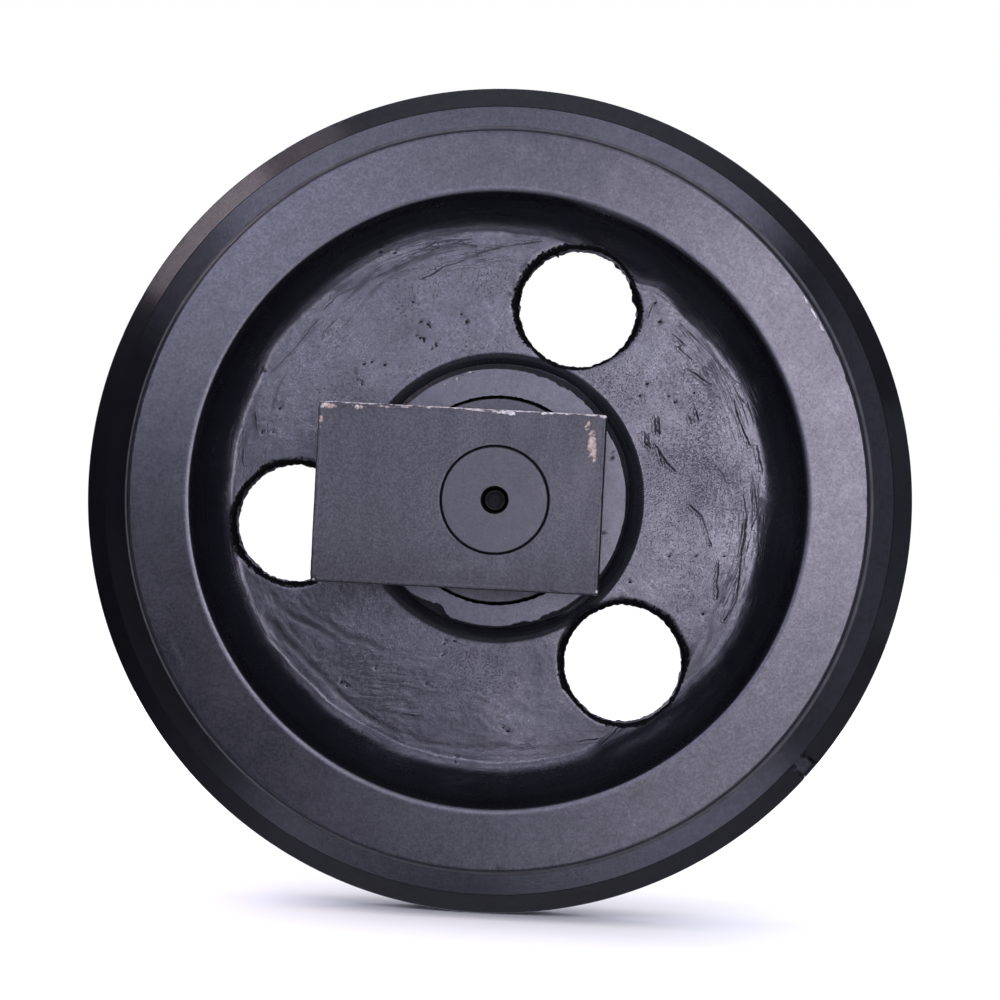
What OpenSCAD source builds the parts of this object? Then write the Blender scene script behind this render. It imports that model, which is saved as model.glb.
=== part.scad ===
// Front idler of a small tracked excavator.
// A cast wheel with a tall centre flange turns on a fixed axle. The axle ends
// sit in two rectangular slide blocks, which run in the guides of the track frame.
//
// Frame: origin at the wheel's centre, axle along Y, Z up.
// -Y is the front side, and -X is the side where the tensioner yoke bolts on.
// Profiles are drawn as [radius, distance from the mid-plane].

/* [Wheel rim] */
// Diameter over the centre flange, which runs between the track's guide lugs
flange_d = 360; // [354:1:366]
// Width of the flat land on top of the flange
flange_land = 24; // [18:1:28]
// Radial height of the 45 degree bevel on each side of the flange
flange_bevel = 8.6; // [6:0.2:10]
// Lean of the flange's sides, in degrees
flange_lean = 12; // [6:1:16]
// Diameter of the two treads that carry the track
tread_d = 320; // [316:1:324]
// Width over both treads
rim_w = 76; // [72:1:80]
// Inside diameter of the rim at its outer face
rim_id = 266; // [260:1:270]

/* [Wheel web] */
// Thickness of the web
web_t = 18; // [14:1:20]
// Fillet between web and rim
rim_fillet = 18; // [12:1:18]
// Fillet between web and hub
hub_fillet = 10; // [8:1:13]
// Number of holes through the web
hole_n = 3; // [3:1:3]
// Diameter of the holes through the web
hole_d = 52; // [40:1:54]
// Diameter of the circle that the holes lie on
hole_pcd = 180; // [176:1:184]
// Angle of the first hole, from +X towards +Z, in degrees
hole_phase = 70; // [0:1:119]

/* [Hub] */
// Length of the hub
hub_w = 88; // [86:1:90]
// Diameter of the hub at its end face
hub_d = 111; // [108:1:116]
// Depth of the recess that hides the collar's edge
lip_depth = 5; // [4:0.5:6]
// Radial gap between the recess and the collar
lip_gap = 0.8; // [0.5:0.1:1.5]

/* [Axle and bushes] */
// Diameter of the axle
axle_d = 45; // [44:1:46]
// Radial running clearance between axle and bush
run_gap = 0.05; // [0.02:0.01:0.1]
// Wall of each bush
bush_wall = 5; // [4:0.5:5]
// Length of each bush
bush_l = 24; // [18:1:24]
// Thickness of the bush's thrust flange
bush_flange_t = 3; // [2:0.5:4]
// End float between a bush and the collar's nose
end_float = 0.3; // [0.2:0.1:0.6]
// Diameter of the countersunk mouth in each axle end
mouth_d = 11.5; // [11:0.5:13]

/* [Floating seals] */
// Radius of the seal seat at its mouth
seat_r = 37.5; // [37:0.5:38]
// Depth of each seal seat
seat_depth = 11; // [11:0.5:12]
// Diameter of the rubber ring's section
toric_d = 4.6; // [4:0.1:4.8]
// Gap between the two seal faces
face_gap = 0.06; // [0.02:0.02:0.1]

/* [Slide blocks] */
// Length of a block along the track
block_l = 120; // [112:1:130]
// Height of a block, which is the width of the guide it runs in
block_h = 75; // [70:1:80]
// Thickness of a block along the axle
block_t = 35; // [32:1:40]
// Distance from the axle to the block's free end
block_nose = 45; // [40:1:48]
// Chamfer on the block's edges
block_chamfer = 0.8; // [0.3:0.1:2]
// Outside diameter of the round collar behind each block
collar_d = 87; // [85:1:88]

/* [Fasteners] */
// Tapping diameter of the yoke bolt holes (M14)
yoke_hole_d = 12; // [10:0.5:14]
// Vertical distance between the two yoke bolt holes of a block
yoke_pitch = 42; // [36:1:46]
// Depth of the yoke bolt holes
yoke_depth = 30; // [20:1:32]
// Diameter of the lock pins
pin_d = 10; // [8:1:10]
// Distance from the axle's centre to a lock pin's axis
pin_offset = 19.5; // [18:0.5:21]

/* [Hidden] */
$fn = 128;

paint_wheel = [0.10, 0.10, 0.12];
paint_block = [0.12, 0.12, 0.14];
steel = [0.62, 0.63, 0.65];
bronze = [0.72, 0.55, 0.30];
rubber = [0.06, 0.06, 0.06];

// Wheel
fr = flange_d / 2;
fb_r = fr - flange_bevel;                 // inner edge of the bevel
fb_a = flange_land / 2 + flange_bevel;
tr = tread_d / 2;
ra = rim_w / 2;
ri = rim_id / 2;
wa = web_t / 2;
root_r = 3;                               // fillet between flange and tread
lean_n = [sin(flange_lean), cos(flange_lean)];
root_c = [tr + root_r,
          fb_a + (root_r + (fb_r - tr - root_r) * lean_n[0]) / lean_n[1]];
wall_r = ri - 0.8;                        // rim wall where the fillet starts
hr = hub_d / 2;
ha = hub_w / 2;
hub_root_r = hr + 1.5;
lip_a = ha - lip_depth;                   // floor of the recess in the hub's end
collar_r = collar_d / 2;
lip_r = collar_r + lip_gap;

// Seal
seat_lip = seat_r;
seat_base = seat_r - 3;
seat_a = lip_a - seat_depth;              // floor of the seat in the hub
mid_a = lip_a + 0.25;                     // plane where the two seal faces meet
toric_c = [seat_base - 1.3, seat_a + 4.6];

// Axle, bushes, blocks
ar = axle_d / 2;
bush_or = ar + bush_wall;
flange_r = seat_base - 3.5;
nose_r = ar + 4.5;
collar_in = lip_a + 0.5;                  // inner face of the collar
block_in = ha + 9;                        // inner face of the block
block_out = block_in + block_t;
spigot_r = 32;
spigot_a = block_in + 10;
oring_a = spigot_a + 4;
pin_a = block_in + 24;
yoke_a = block_in + block_t / 2;
fit = 0.02;                               // radial play between fixed pieces

// Points on an arc about [c], from angle a0 to a1, in n steps
function arc(c, r, a0, a1, n) =
    [for (i = [0:n]) let (t = a0 + (a1 - a0) * i / n) [c[0] + r * cos(t), c[1] + r * sin(t)]];
// A half profile and its mirror image across the mid-plane
function both_sides(p) =
    concat(p, [for (i = [len(p) - 1:-1:0]) [p[i][0], -p[i][1]]]);
// The same profile seen from the other seal face
function across(p) = [for (q = p) [q[0], 2 * mid_a - q[1]]];

// Turns a profile's axis from +Z to the front side
module to_front() { rotate([90, 0, 0]) children(); }
module to_rear() { mirror([0, 1, 0]) rotate([90, 0, 0]) children(); }

// ---------- wheel ----------
module wheel_section() {
    half = concat(
        [[fr, flange_land / 2], [fb_r, fb_a]],
        arc(root_c, root_r, 270 - flange_lean, 180, 6),
        [[tr, ra - 1.2], [tr - 1.2, ra], [ri + 1.6, ra], [ri, ra - 1.6]],
        arc([wall_r - rim_fillet, wa + rim_fillet], rim_fillet, 0, -90, 12),
        arc([hub_root_r + hub_fillet, wa + hub_fillet], hub_fillet, -90, -180, 10),
        [[hr, ha - 1], [hr - 1, ha], [lip_r + 0.5, ha], [lip_r, ha - 0.5], [lip_r, lip_a],
         [seat_lip, lip_a], [seat_base, seat_a], [flange_r + fit, seat_a],
         [flange_r + fit, seat_a - bush_flange_t], [bush_or, seat_a - bush_flange_t]]);
    polygon(both_sides(half));
}

module idler_wheel() {
    color(paint_wheel)
    difference() {
        to_front() rotate_extrude() wheel_section();
        for (i = [0:hole_n - 1])
            rotate([0, -(hole_phase + 360 / hole_n * i), 0])
                translate([hole_pcd / 2, 0, 0])
                    rotate([90, 0, 0]) cylinder(d = hole_d, h = 60, center = true);
    }
}

// ---------- axle ----------
module axle() {
    oring_w = 3.6;
    oring_base = ar - 2.5;
    half = [[ar, oring_a - oring_w / 2], [oring_base, oring_a - oring_w / 2],
            [oring_base, oring_a + oring_w / 2], [ar, oring_a + oring_w / 2],
            [ar, block_out - 0.8], [ar - 0.8, block_out]];
    outer = concat([for (i = [len(half) - 1:-1:0]) [half[i][0], -half[i][1]]], half);
    mr = mouth_d / 2;
    color(steel)
    difference() {
        to_front() rotate_extrude() polygon(concat([[0, -block_out]], outer, [[0, block_out]]));
        // oil gallery: mouth, plug thread, drilling, cross hole between the bushes
        to_front() translate([0, 0, block_out - 8]) cylinder(r = mr, h = 10);
        to_front() translate([0, 0, block_out - 24]) cylinder(r = 5, h = 20);
        to_front() cylinder(r = 3, h = block_out - 20);
        cylinder(r = 2.5, h = ar + 2);
        // lathe centre in the rear end
        to_rear() translate([0, 0, block_out]) rotate_extrude()
            polygon([[0, 1], [mr, 1], [mr, 0], [2, -(mr - 2) / tan(30)],
                     [2, -(mr - 2) / tan(30) - 5], [0, -(mr - 2) / tan(30) - 6]]);
        // half-round seats for the lock pins
        for (s = [-1, 1])
            translate([pin_offset, s * pin_a, 0]) cylinder(d = pin_d + 2 * fit, h = 80, center = true);
    }
}

// ---------- bush ----------
module bush() {
    ir = ar + run_gap;
    a1 = seat_a;
    color(bronze) rotate_extrude() polygon([
        [ir + 0.6, a1], [flange_r, a1], [flange_r, a1 - bush_flange_t],
        [bush_or - fit, a1 - bush_flange_t], [bush_or - fit, a1 - bush_l + 0.6],
        [bush_or - fit - 0.6, a1 - bush_l], [ir, a1 - bush_l], [ir, a1 - 0.6]]);
}
module bush_front() { to_front() bush(); }
module bush_rear() { to_rear() bush(); }

// ---------- slide block ----------
// Outline of a box with its corners cut off
function cut_box(x0, x1, y0, y1, c) =
    [[x0 + c, y0], [x1 - c, y0], [x1, y0 + c], [x1, y1 - c],
     [x1 - c, y1], [x0 + c, y1], [x0, y1 - c], [x0, y0 + c]];

module block_body() {
    x0 = block_nose - block_l;
    x1 = block_nose;
    h = block_h / 2;
    c = block_chamfer;
    intersection() {
        rotate([90, 0, 0]) linear_extrude(height = 400, center = true)
            polygon(cut_box(x0, x1, -h, h, c));
        linear_extrude(height = 400, center = true)
            polygon(cut_box(x0, x1, -block_out, -block_in, c));
        rotate([90, 0, 90]) linear_extrude(height = 400, center = true)
            polygon(cut_box(-block_out, -block_in, -h, h, c));
    }
}

// Front block: bore for the axle with a chamfered mouth, seat for the collar's
// spigot, tapped holes for the yoke and a cross hole for the lock pin
module slide_block() {
    color(paint_block)
    difference() {
        block_body();
        to_front() cylinder(r = ar + fit, h = 200);
        to_front() translate([0, 0, block_out]) rotate_extrude()
            polygon([[0, 1], [ar + 0.6 + 1, 1], [ar + fit, -0.6], [0, -0.6]]);
        to_front() cylinder(r = spigot_r + fit, h = spigot_a + 0.1);
        for (s = [-1, 1])
            translate([block_nose - block_l, -yoke_a, s * yoke_pitch / 2])
                rotate([0, 90, 0]) rotate_extrude()
                    polygon([[0, -1], [yoke_hole_d / 2, -1],
                             [yoke_hole_d / 2, yoke_depth], [0, yoke_depth + 3]]);
        translate([pin_offset, -pin_a, 0]) cylinder(d = pin_d + 2 * fit, h = 100, center = true);
    }
}
module slide_block_front() { slide_block(); }
module slide_block_rear() { mirror([0, 1, 0]) slide_block(); }

// ---------- seal collar ----------
// Turned ring on the axle: seal seat towards the wheel, nose against the bush,
// spigot into the block
module seal_collar() {
    b = 2 * mid_a - seat_a;               // floor of the seat in the collar
    color(paint_block) rotate_extrude() polygon([
        [ar + fit, seat_a + end_float], [nose_r, seat_a + end_float], [nose_r, b],
        [seat_base, b], [seat_lip, collar_in], [collar_r - 0.5, collar_in],
        [collar_r, collar_in + 0.5], [collar_r, block_in - 0.5], [collar_r - 0.5, block_in],
        [spigot_r, block_in], [spigot_r, spigot_a - 0.6], [spigot_r - 0.6, spigot_a],
        [ar + fit, spigot_a]]);
}
module seal_collar_front() { to_front() seal_collar(); }
module seal_collar_rear() { to_rear() seal_collar(); }

// ---------- floating seal ----------
// Hard metal ring that turns with the wheel: seal face outwards, ramp for the rubber ring
function seal_ring_profile() = let (f = mid_a - face_gap / 2, i = nose_r + 1.2) [
    [i, seat_a + 2], [seat_base - 4.5, seat_a + 2], [seat_base - 3.1, f - 3.6],
    [seat_base + 0.8, f - 3.6], [seat_base + 0.8, f - 0.8], [seat_base + 0.1, f],
    [seat_base - 3.5, f], [i, f - 0.6]];
module wheel_seal_ring() { color(steel) rotate_extrude() polygon(seal_ring_profile()); }
module collar_seal_ring() { color(steel) rotate_extrude() polygon(across(seal_ring_profile())); }
module toric_ring(a) {
    color(rubber) translate([0, 0, a]) rotate_extrude()
        translate([toric_c[0], 0]) circle(d = toric_d, $fn = 48);
}
module wheel_seal_ring_front() { to_front() wheel_seal_ring(); }
module wheel_seal_ring_rear() { to_rear() wheel_seal_ring(); }
module collar_seal_ring_front() { to_front() collar_seal_ring(); }
module collar_seal_ring_rear() { to_rear() collar_seal_ring(); }
module wheel_toric_ring_front() { to_front() toric_ring(toric_c[1]); }
module wheel_toric_ring_rear() { to_rear() toric_ring(toric_c[1]); }
module collar_toric_ring_front() { to_front() toric_ring(2 * mid_a - toric_c[1]); }
module collar_toric_ring_rear() { to_rear() toric_ring(2 * mid_a - toric_c[1]); }

// ---------- small pieces ----------
module axle_o_ring() {
    color(rubber) translate([0, 0, oring_a]) rotate_extrude()
        translate([ar - 1.26, 0]) circle(d = 2.44, $fn = 32);
}
module axle_o_ring_front() { to_front() axle_o_ring(); }
module axle_o_ring_rear() { to_rear() axle_o_ring(); }

// Dowel across the block and the side of the axle, sunk below both faces
module lock_pin() {
    l = block_h / 2 - 3.5;
    r = pin_d / 2;
    color(steel) translate([pin_offset, -pin_a, 0]) rotate_extrude()
        polygon([[0, -l], [r - 1, -l], [r, -l + 1], [r, l - 1], [r - 1, l], [0, l]]);
}
module lock_pin_front() { lock_pin(); }
module lock_pin_rear() { mirror([0, 1, 0]) lock_pin(); }

// Socket plug that closes the oil gallery, at the bottom of the axle's mouth
module oil_plug() {
    color(steel)
    to_front() translate([0, 0, block_out - 22]) difference() {
        rotate_extrude() polygon([[0, 0], [4, 0], [4.96, 1], [4.96, 13.2], [4.2, 14], [0, 14]]);
        translate([0, 0, 9]) cylinder(d = 6.9, h = 10, $fn = 6);
    }
}

idler_wheel();
axle();
bush_front();
bush_rear();
slide_block_front();
slide_block_rear();
seal_collar_front();
seal_collar_rear();
wheel_seal_ring_front();
wheel_seal_ring_rear();
collar_seal_ring_front();
collar_seal_ring_rear();
wheel_toric_ring_front();
wheel_toric_ring_rear();
collar_toric_ring_front();
collar_toric_ring_rear();
axle_o_ring_front();
axle_o_ring_rear();
lock_pin_front();
lock_pin_rear();
oil_plug();
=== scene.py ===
import math

import bpy
import numpy as np
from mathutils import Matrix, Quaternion, Vector


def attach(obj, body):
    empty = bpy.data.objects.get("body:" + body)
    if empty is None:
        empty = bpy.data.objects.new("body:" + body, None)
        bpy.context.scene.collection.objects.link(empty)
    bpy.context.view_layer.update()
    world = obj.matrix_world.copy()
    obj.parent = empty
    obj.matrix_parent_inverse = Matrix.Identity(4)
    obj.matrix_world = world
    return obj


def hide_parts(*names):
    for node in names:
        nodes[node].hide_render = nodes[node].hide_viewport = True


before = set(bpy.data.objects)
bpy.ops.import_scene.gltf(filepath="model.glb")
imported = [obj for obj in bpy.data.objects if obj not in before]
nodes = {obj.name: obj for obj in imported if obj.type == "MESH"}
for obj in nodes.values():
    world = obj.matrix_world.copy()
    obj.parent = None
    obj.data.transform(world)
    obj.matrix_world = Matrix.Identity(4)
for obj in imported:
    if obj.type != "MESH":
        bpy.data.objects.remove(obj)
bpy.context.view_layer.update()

scene = bpy.context.scene
MM = 0.001

# ------------------------------------------------------------------ camera
# The photograph looks almost straight along the axle, from a little to the
# right, and the object stands turned by a few degrees in the frame.
F_PX = 3493.5
AZ, EL, ROLL, DIST = math.radians(1.33), math.radians(-0.17), math.radians(2.93), 1.525
target = Vector((0.00048, -0.012, 0.0003))
back = Vector((math.sin(AZ) * math.cos(EL), -math.cos(AZ) * math.cos(EL), math.sin(EL)))
cam_data = bpy.data.cameras.new("camera")
cam = bpy.data.objects.new("camera", cam_data)
scene.collection.objects.link(cam)
cam_data.lens = F_PX * 36.0 / 1000.0
cam_data.sensor_width = 36.0
cam_data.clip_start, cam_data.clip_end = 0.05, 200.0
cam.location = target + back * DIST
cam.rotation_mode = "QUATERNION"
cam.rotation_quaternion = (-back).to_track_quat("-Z", "Y") @ Quaternion((0, 0, 1), ROLL)
scene.camera = cam
CAM_ROT = np.array(cam.rotation_quaternion.to_matrix())
CAM_POS = np.array(cam.location)


def at(px, py, depth_mm):
    """Place on the plane y = -depth that shows at a pixel of the frame, as (x, z) in mm."""
    d = CAM_ROT @ np.array([(px - 500.0) / F_PX, -(py - 500.0) / F_PX, -1.0])
    t = (-depth_mm * MM - CAM_POS[1]) / d[1]
    p = (CAM_POS + d * t) / MM
    return p[0], p[2]


# ------------------------------------------------------------------ noise
def _hash(ix, iy, iz, seed):
    h = (ix.astype(np.uint64) * np.uint64(374761393) + iy.astype(np.uint64) * np.uint64(668265263)
         + iz.astype(np.uint64) * np.uint64(2246822519) + np.uint64(seed * 3266489917 % (1 << 32)))
    h &= np.uint64(0xFFFFFFFF)
    h = ((h ^ (h >> np.uint64(13))) * np.uint64(1274126177)) & np.uint64(0xFFFFFFFF)
    h = ((h ^ (h >> np.uint64(15))) * np.uint64(2654435761)) & np.uint64(0xFFFFFFFF)
    return h ^ (h >> np.uint64(16))


def noise(p, seed=0):
    """Gradient noise at points p (n, 3), about -0.8 to 0.8."""
    p = np.asarray(p, float) + 512.37
    i = np.floor(p).astype(np.int64)
    f = p - i
    u = f * f * f * (f * (f * 6 - 15) + 10)
    out = np.zeros(len(p))
    for dx in (0, 1):
        for dy in (0, 1):
            for dz in (0, 1):
                h = _hash(i[:, 0] + dx, i[:, 1] + dy, i[:, 2] + dz, seed)
                g = [((h >> np.uint64(s)) & np.uint64(255)).astype(float) / 127.5 - 1 for s in (0, 8, 16)]
                d = g[0] * (f[:, 0] - dx) + g[1] * (f[:, 1] - dy) + g[2] * (f[:, 2] - dz)
                w = (u[:, 0] if dx else 1 - u[:, 0]) * (u[:, 1] if dy else 1 - u[:, 1]) * (u[:, 2] if dz else 1 - u[:, 2])
                out += w * d
    return out * 1.25


def fbm(p, octaves, seed=0, gain=0.5):
    p = np.asarray(p, float)
    out, amp = np.zeros(len(p)), 1.0
    for k in range(octaves):
        out += amp * noise(p * 2.03 ** k, seed + 17 * k)
        amp *= gain
    return out


def smooth(x, a, b):
    t = np.clip((x - a) / (b - a), 0, 1)
    return t * t * (3 - 2 * t)


def stack(*cols):
    return np.stack(np.broadcast_arrays(*cols), axis=-1).astype(float)


# ------------------------------------------------------------------ mesh helpers
def new_object(name, verts_mm, faces):
    me = bpy.data.meshes.new(name)
    v = np.asarray(verts_mm, np.float32) * MM
    me.vertices.add(len(v))
    me.vertices.foreach_set("co", v.ravel())
    f = np.asarray(faces, np.int32)
    me.loops.add(f.size)
    me.loops.foreach_set("vertex_index", f.ravel())
    me.polygons.add(len(f))
    me.polygons.foreach_set("loop_start", np.arange(len(f), dtype=np.int32) * f.shape[1])
    me.update(calc_edges=True)
    me.validate()
    ob = bpy.data.objects.new(name, me)
    scene.collection.objects.link(ob)
    return ob


def ring_faces(rings, n, closed=True):
    """Quads between rings of n points; closed also joins the last ring to the first."""
    i = np.arange(rings if closed else rings - 1)[:, None]
    j = np.arange(n)[None, :]
    a = i * n + j
    b = i * n + (j + 1) % n
    c = ((i + 1) % rings) * n + (j + 1) % n
    d = ((i + 1) % rings) * n + j
    return np.stack([a, b, c, d], -1).reshape(-1, 4)


def point_array(me):
    co = np.empty(len(me.vertices) * 3, np.float32)
    me.vertices.foreach_get("co", co)
    return co.reshape(-1, 3).astype(float) / MM


def cut_away(ob, cutters):
    """Takes the cutters' shapes out of ob, and removes the cutters."""
    for c in cutters:
        m = ob.modifiers.new("cut", "BOOLEAN")
        m.operation = "DIFFERENCE"
        m.solver = "MANIFOLD"
        m.object = c
    bpy.context.view_layer.update()
    dg = bpy.context.evaluated_depsgraph_get()
    me = bpy.data.meshes.new_from_object(ob.evaluated_get(dg))
    old = ob.data
    ob.modifiers.clear()
    ob.data = me
    me.name = ob.name
    bpy.data.meshes.remove(old)
    for c in cutters:
        cm = c.data
        bpy.data.objects.remove(c)
        bpy.data.meshes.remove(cm)


def set_attribute(me, name, values):
    a = me.attributes.get(name) or me.attributes.new(name, "FLOAT", "POINT")
    a.data.foreach_set("value", np.asarray(values, np.float32))


def finish_mesh(ob, angle=38):
    me = ob.data
    for p in ("sharp_edge", "sharp_face"):
        if me.attributes.get(p):
            me.attributes.remove(me.attributes[p])
    me.set_sharp_from_angle(angle=math.radians(angle))


# ------------------------------------------------------------------ wheel
N_W = 720
HOLES = [(90.9, 70.66), (90.1, 189.16), (89.6, 310.06)]      # radius, angle
HOLE_R = 25.7


def wheel_profile():
    """Half section from the flange's top to the middle of the bore, as rows of
    [radius, distance from the mid-plane, cast]: cast is 1 where the skin of the casting shows."""
    out = []

    def line(p, q, ts, cast=0.0):
        for t in ts:
            out.append((p[0] + (q[0] - p[0]) * t, p[1] + (q[1] - p[1]) * t, cast))

    def arc(c, r, a0, a1, n, cast=0.0):
        for i in range(n):
            t = math.radians(a0 + (a1 - a0) * i / n)
            out.append((c[0] + r * math.cos(t), c[1] + r * math.sin(t), cast))

    even = lambda n: [i / n for i in range(n)]
    flat = lambda n: [0, 0.012] + [0.03 + 0.94 * i / n for i in range(n + 1)] + [0.988]
    line((180, 0), (180, 11.38), [0, 0.3, 0.6, 0.85, 0.97])
    arc((178.5, 11.38), 1.5, 0, 45, 4)
    line((179.561, 12.441), (171.609, 20.391), flat(8))
    arc((170.902, 19.684), 1.0, 45, 78, 3)
    line((171.11, 20.662), (162.376, 22.516), flat(8))
    arc((163, 25.45), 3.0, 258, 180, 5)
    line((160, 25.45), (160, 36.2), [0, 0.04, 0.3, 0.6, 0.9, 0.97])
    arc((158.2, 36.2), 1.8, 0, 90, 6)
    line((158.2, 38), (135.25, 38), flat(13))
    arc((135.25, 28.0), 10.0, 90, 103, 6)
    arc((133.203, 36.867), 0.9, 103, 176, 5)
    line((132.305, 36.93), (131.2, 26.638), even(8), 1.0)
    arc((113.2, 26.638), 18.0, 0, -75.26, 28, 1.0)
    arc((115.999, 16.0), 7.0, -75.26, -90, 6, 1.0)
    line((115.999, 9), (63.93, 9), even(65), 1.0)
    arc((63.93, 11.0), 2.0, -90, -110, 4, 1.0)
    arc((66.5, 18.05), 9.5, -110, -180, 15, 1.0)
    line((57, 18.05), (55.6, 40.2), even(12), 1.0)
    for a in (40.2, 40.7, 41.9, 42.4, 43.0):
        out.append((55.55, a, 0.0))
    arc((55.0, 43.5), 0.5, 0, 90, 4)
    line((55.0, 44), (44.8, 44), flat(8))
    line((44.8, 44), (44.3, 43.5), [0, 0.5])
    line((44.3, 43.5), (44.3, 39), [0, 0.05, 0.5, 0.95])
    line((44.3, 39), (37.5, 39), [0, 0.05, 0.95])
    line((37.5, 39), (34.5, 28), [0, 0.03, 0.97])
    line((34.5, 28), (31.02, 28), [0, 0.1, 0.9])
    line((31.02, 28), (31.02, 25), [0, 0.1, 0.9])
    line((31.02, 25), (27.5, 25), [0, 0.1, 0.9])
    line((27.5, 25), (27.5, 0), [0, 0.02, 0.98])
    out.append((27.5, 0.0, 0.0))
    return np.array(out)


def hole_edge(k, phi, side):
    """(radius of the hole's edge, width of its worn-round lip) at angle phi around hole k, in mm."""
    u = stack(np.cos(phi) * 1.3, np.sin(phi) * 1.3, 7.7 * k + 3.1 * side)
    r = HOLE_R + 0.45 * fbm(u * 1.2, 2, 40 + k)
    lip = 1.9 + 1.5 * fbm(u * 1.1, 2, 70 + k)
    if side == 0:      # the burnt edges are broadest at the left of the upper and lower right holes
        for a, w, gain, hole in ((165, 45, 1.7, 0), (110, 35, 0.9, 0), (350, 35, 0.7, 0),
                                 (150, 55, 1.4, 2), (60, 40, 1.0, 2), (14, 14, 2.3, 2), (46, 12, 0.9, 2), (178, 12, 0.8, 0), (110, 50, 1.5, 1), (200, 60, 1.0, 1)):
            if hole == k:
                d = np.degrees(np.abs(np.angle(np.exp(1j * (phi - math.radians(a))))))
                lip = lip + gain * np.exp(-(d / w) ** 2)
    return r, np.clip(lip, 1.1, 5.0)


def groove(x, z, pts, width):
    """Closeness, 0 to 1, to a line through pts (pairs of mm)."""
    pts = np.asarray(pts, float)
    best = np.full(len(x), 1e9)
    for (ax, az), (bx, bz) in zip(pts[:-1], pts[1:]):
        ex, ez = bx - ax, bz - az
        t = np.clip(((x - ax) * ex + (z - az) * ez) / (ex * ex + ez * ez + 1e-9), 0, 1)
        best = np.minimum(best, np.hypot(x - ax - t * ex, z - az - t * ez))
    return np.exp(-(best / width) ** 2)


def thin_lines(depth=9.0):
    """Thin flow lines and slits in the casting's front: (points in mm, strength), placed by the frame's pixels."""
    px = [
        ([(540, 242), (516, 245), (503, 247), (489, 250), (475, 255), (461, 261), (446, 265.5), (436, 272), (423, 279)], 0.9),
        ([(475, 246), (457, 244), (443, 246), (432, 251), (420, 257), (409, 262), (396, 267), (378, 276)], 0.8),
        ([(470, 240), (450, 240), (436, 243), (424, 249), (410, 256)], 0.6),
        ([(378, 276), (350, 290), (339, 294), (325, 308)], 0.55),
        ([(316, 322), (309, 332), (302, 340), (284, 361), (273, 370)], 0.5),
        ([(334, 322), (328, 328), (323, 334)], 0.6),
        ([(675, 336), (682, 343)], 0.8), ([(679, 348), (691, 359)], 0.8),
        ([(688, 370), (698, 376), (709, 383)], 0.9), ([(706, 368), (716, 375)], 0.6),
        ([(691, 334), (709, 352), (727, 372), (740, 384)], 0.65),
        ([(734, 402), (740, 422), (745, 435), (750, 445)], 1.1),
        ([(757, 447), (763, 470)], 0.9), ([(720, 470), (727, 482)], 0.5),
        ([(691, 506), (702, 518), (707, 531), (711, 544)], 0.8),
        ([(744, 498), (747, 516), (745, 531), (741, 554), (740, 570), (736, 602), (724, 620)], 1.1),
        ([(752, 527), (757, 516)], 0.9), ([(756, 498), (758, 520), (759, 549)], 0.9), ([(762, 500), (765, 530), (762, 560)], 0.7),
        ([(719, 565), (718, 580), (717, 597)], 1.2),
        ([(581, 741), (589, 740), (597, 738)], 1.1), ([(602, 743), (612, 735), (620, 727)], 1.2),
        ([(404, 714), (412, 715), (420, 715)], 0.9),
        ([(655, 420), (656, 432)], 1.3), ([(659.5, 421), (660, 433)], 1.2), ([(645, 434), (646, 444)], 1.2), ([(649, 437), (650, 447)], 1.1),
        ([(657, 446), (662, 455), (668, 464), (675, 470)], 1.4), ([(659, 452), (662, 462)], 1.0),
        ([(697, 412), (698, 420)], 1.1), ([(690, 418), (691, 424)], 0.8), ([(651, 307), (649.5, 316)], 0.8),
        ([(243, 450), (244, 464)], 1.0), ([(255, 414), (257, 428)], 0.7),
    ]
    return [([at(u, v, depth) for u, v in line], g) for line, g in px]


def soft_lines(depth=9.0):
    """Broad shallow furrows of the front: (points in mm, width, depth, darkness of the painted shade in them)."""
    px = [
        ([(273, 595), (279, 606), (291, 615), (314, 627), (334, 638)], 1.3, 0.15, 0.62),
        ([(266, 618), (282, 638), (302, 656), (320, 674), (336, 690)], 1.6, 0.17, 0.55),
        ([(302, 607), (325, 624), (346, 636), (380, 649)], 1.5, 0.10, 0.32),
        ([(339, 697), (361, 716), (386, 729), (421, 743), (457, 749), (489, 749), (504, 745)], 1.6, 0.10, 0.32),
        ([(495, 748), (530, 750), (566, 747)], 1.4, 0.07, 0.25),
        ([(540, 242), (516, 245), (503, 247), (489, 250), (475, 255), (461, 261)], 0.9, 0.03, 0.42),
        ([(475, 247), (457, 246), (443, 249), (432, 253), (420, 258), (409, 263), (396, 268)], 1.5, 0.05, 0.48),
        ([(396, 268), (378, 277), (350, 290), (339, 295)], 1.1, 0.04, 0.34),
        ([(316, 322), (309, 332), (302, 340), (284, 361), (273, 370)], 0.9, 0.03, 0.30),
        ([(334, 690), (352, 706), (370, 720)], 1.5, 0.10, 0.30),
    ]
    return [([at(u, v, depth) for u, v in line], w, d, g) for line, w, d, g in px]


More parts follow.
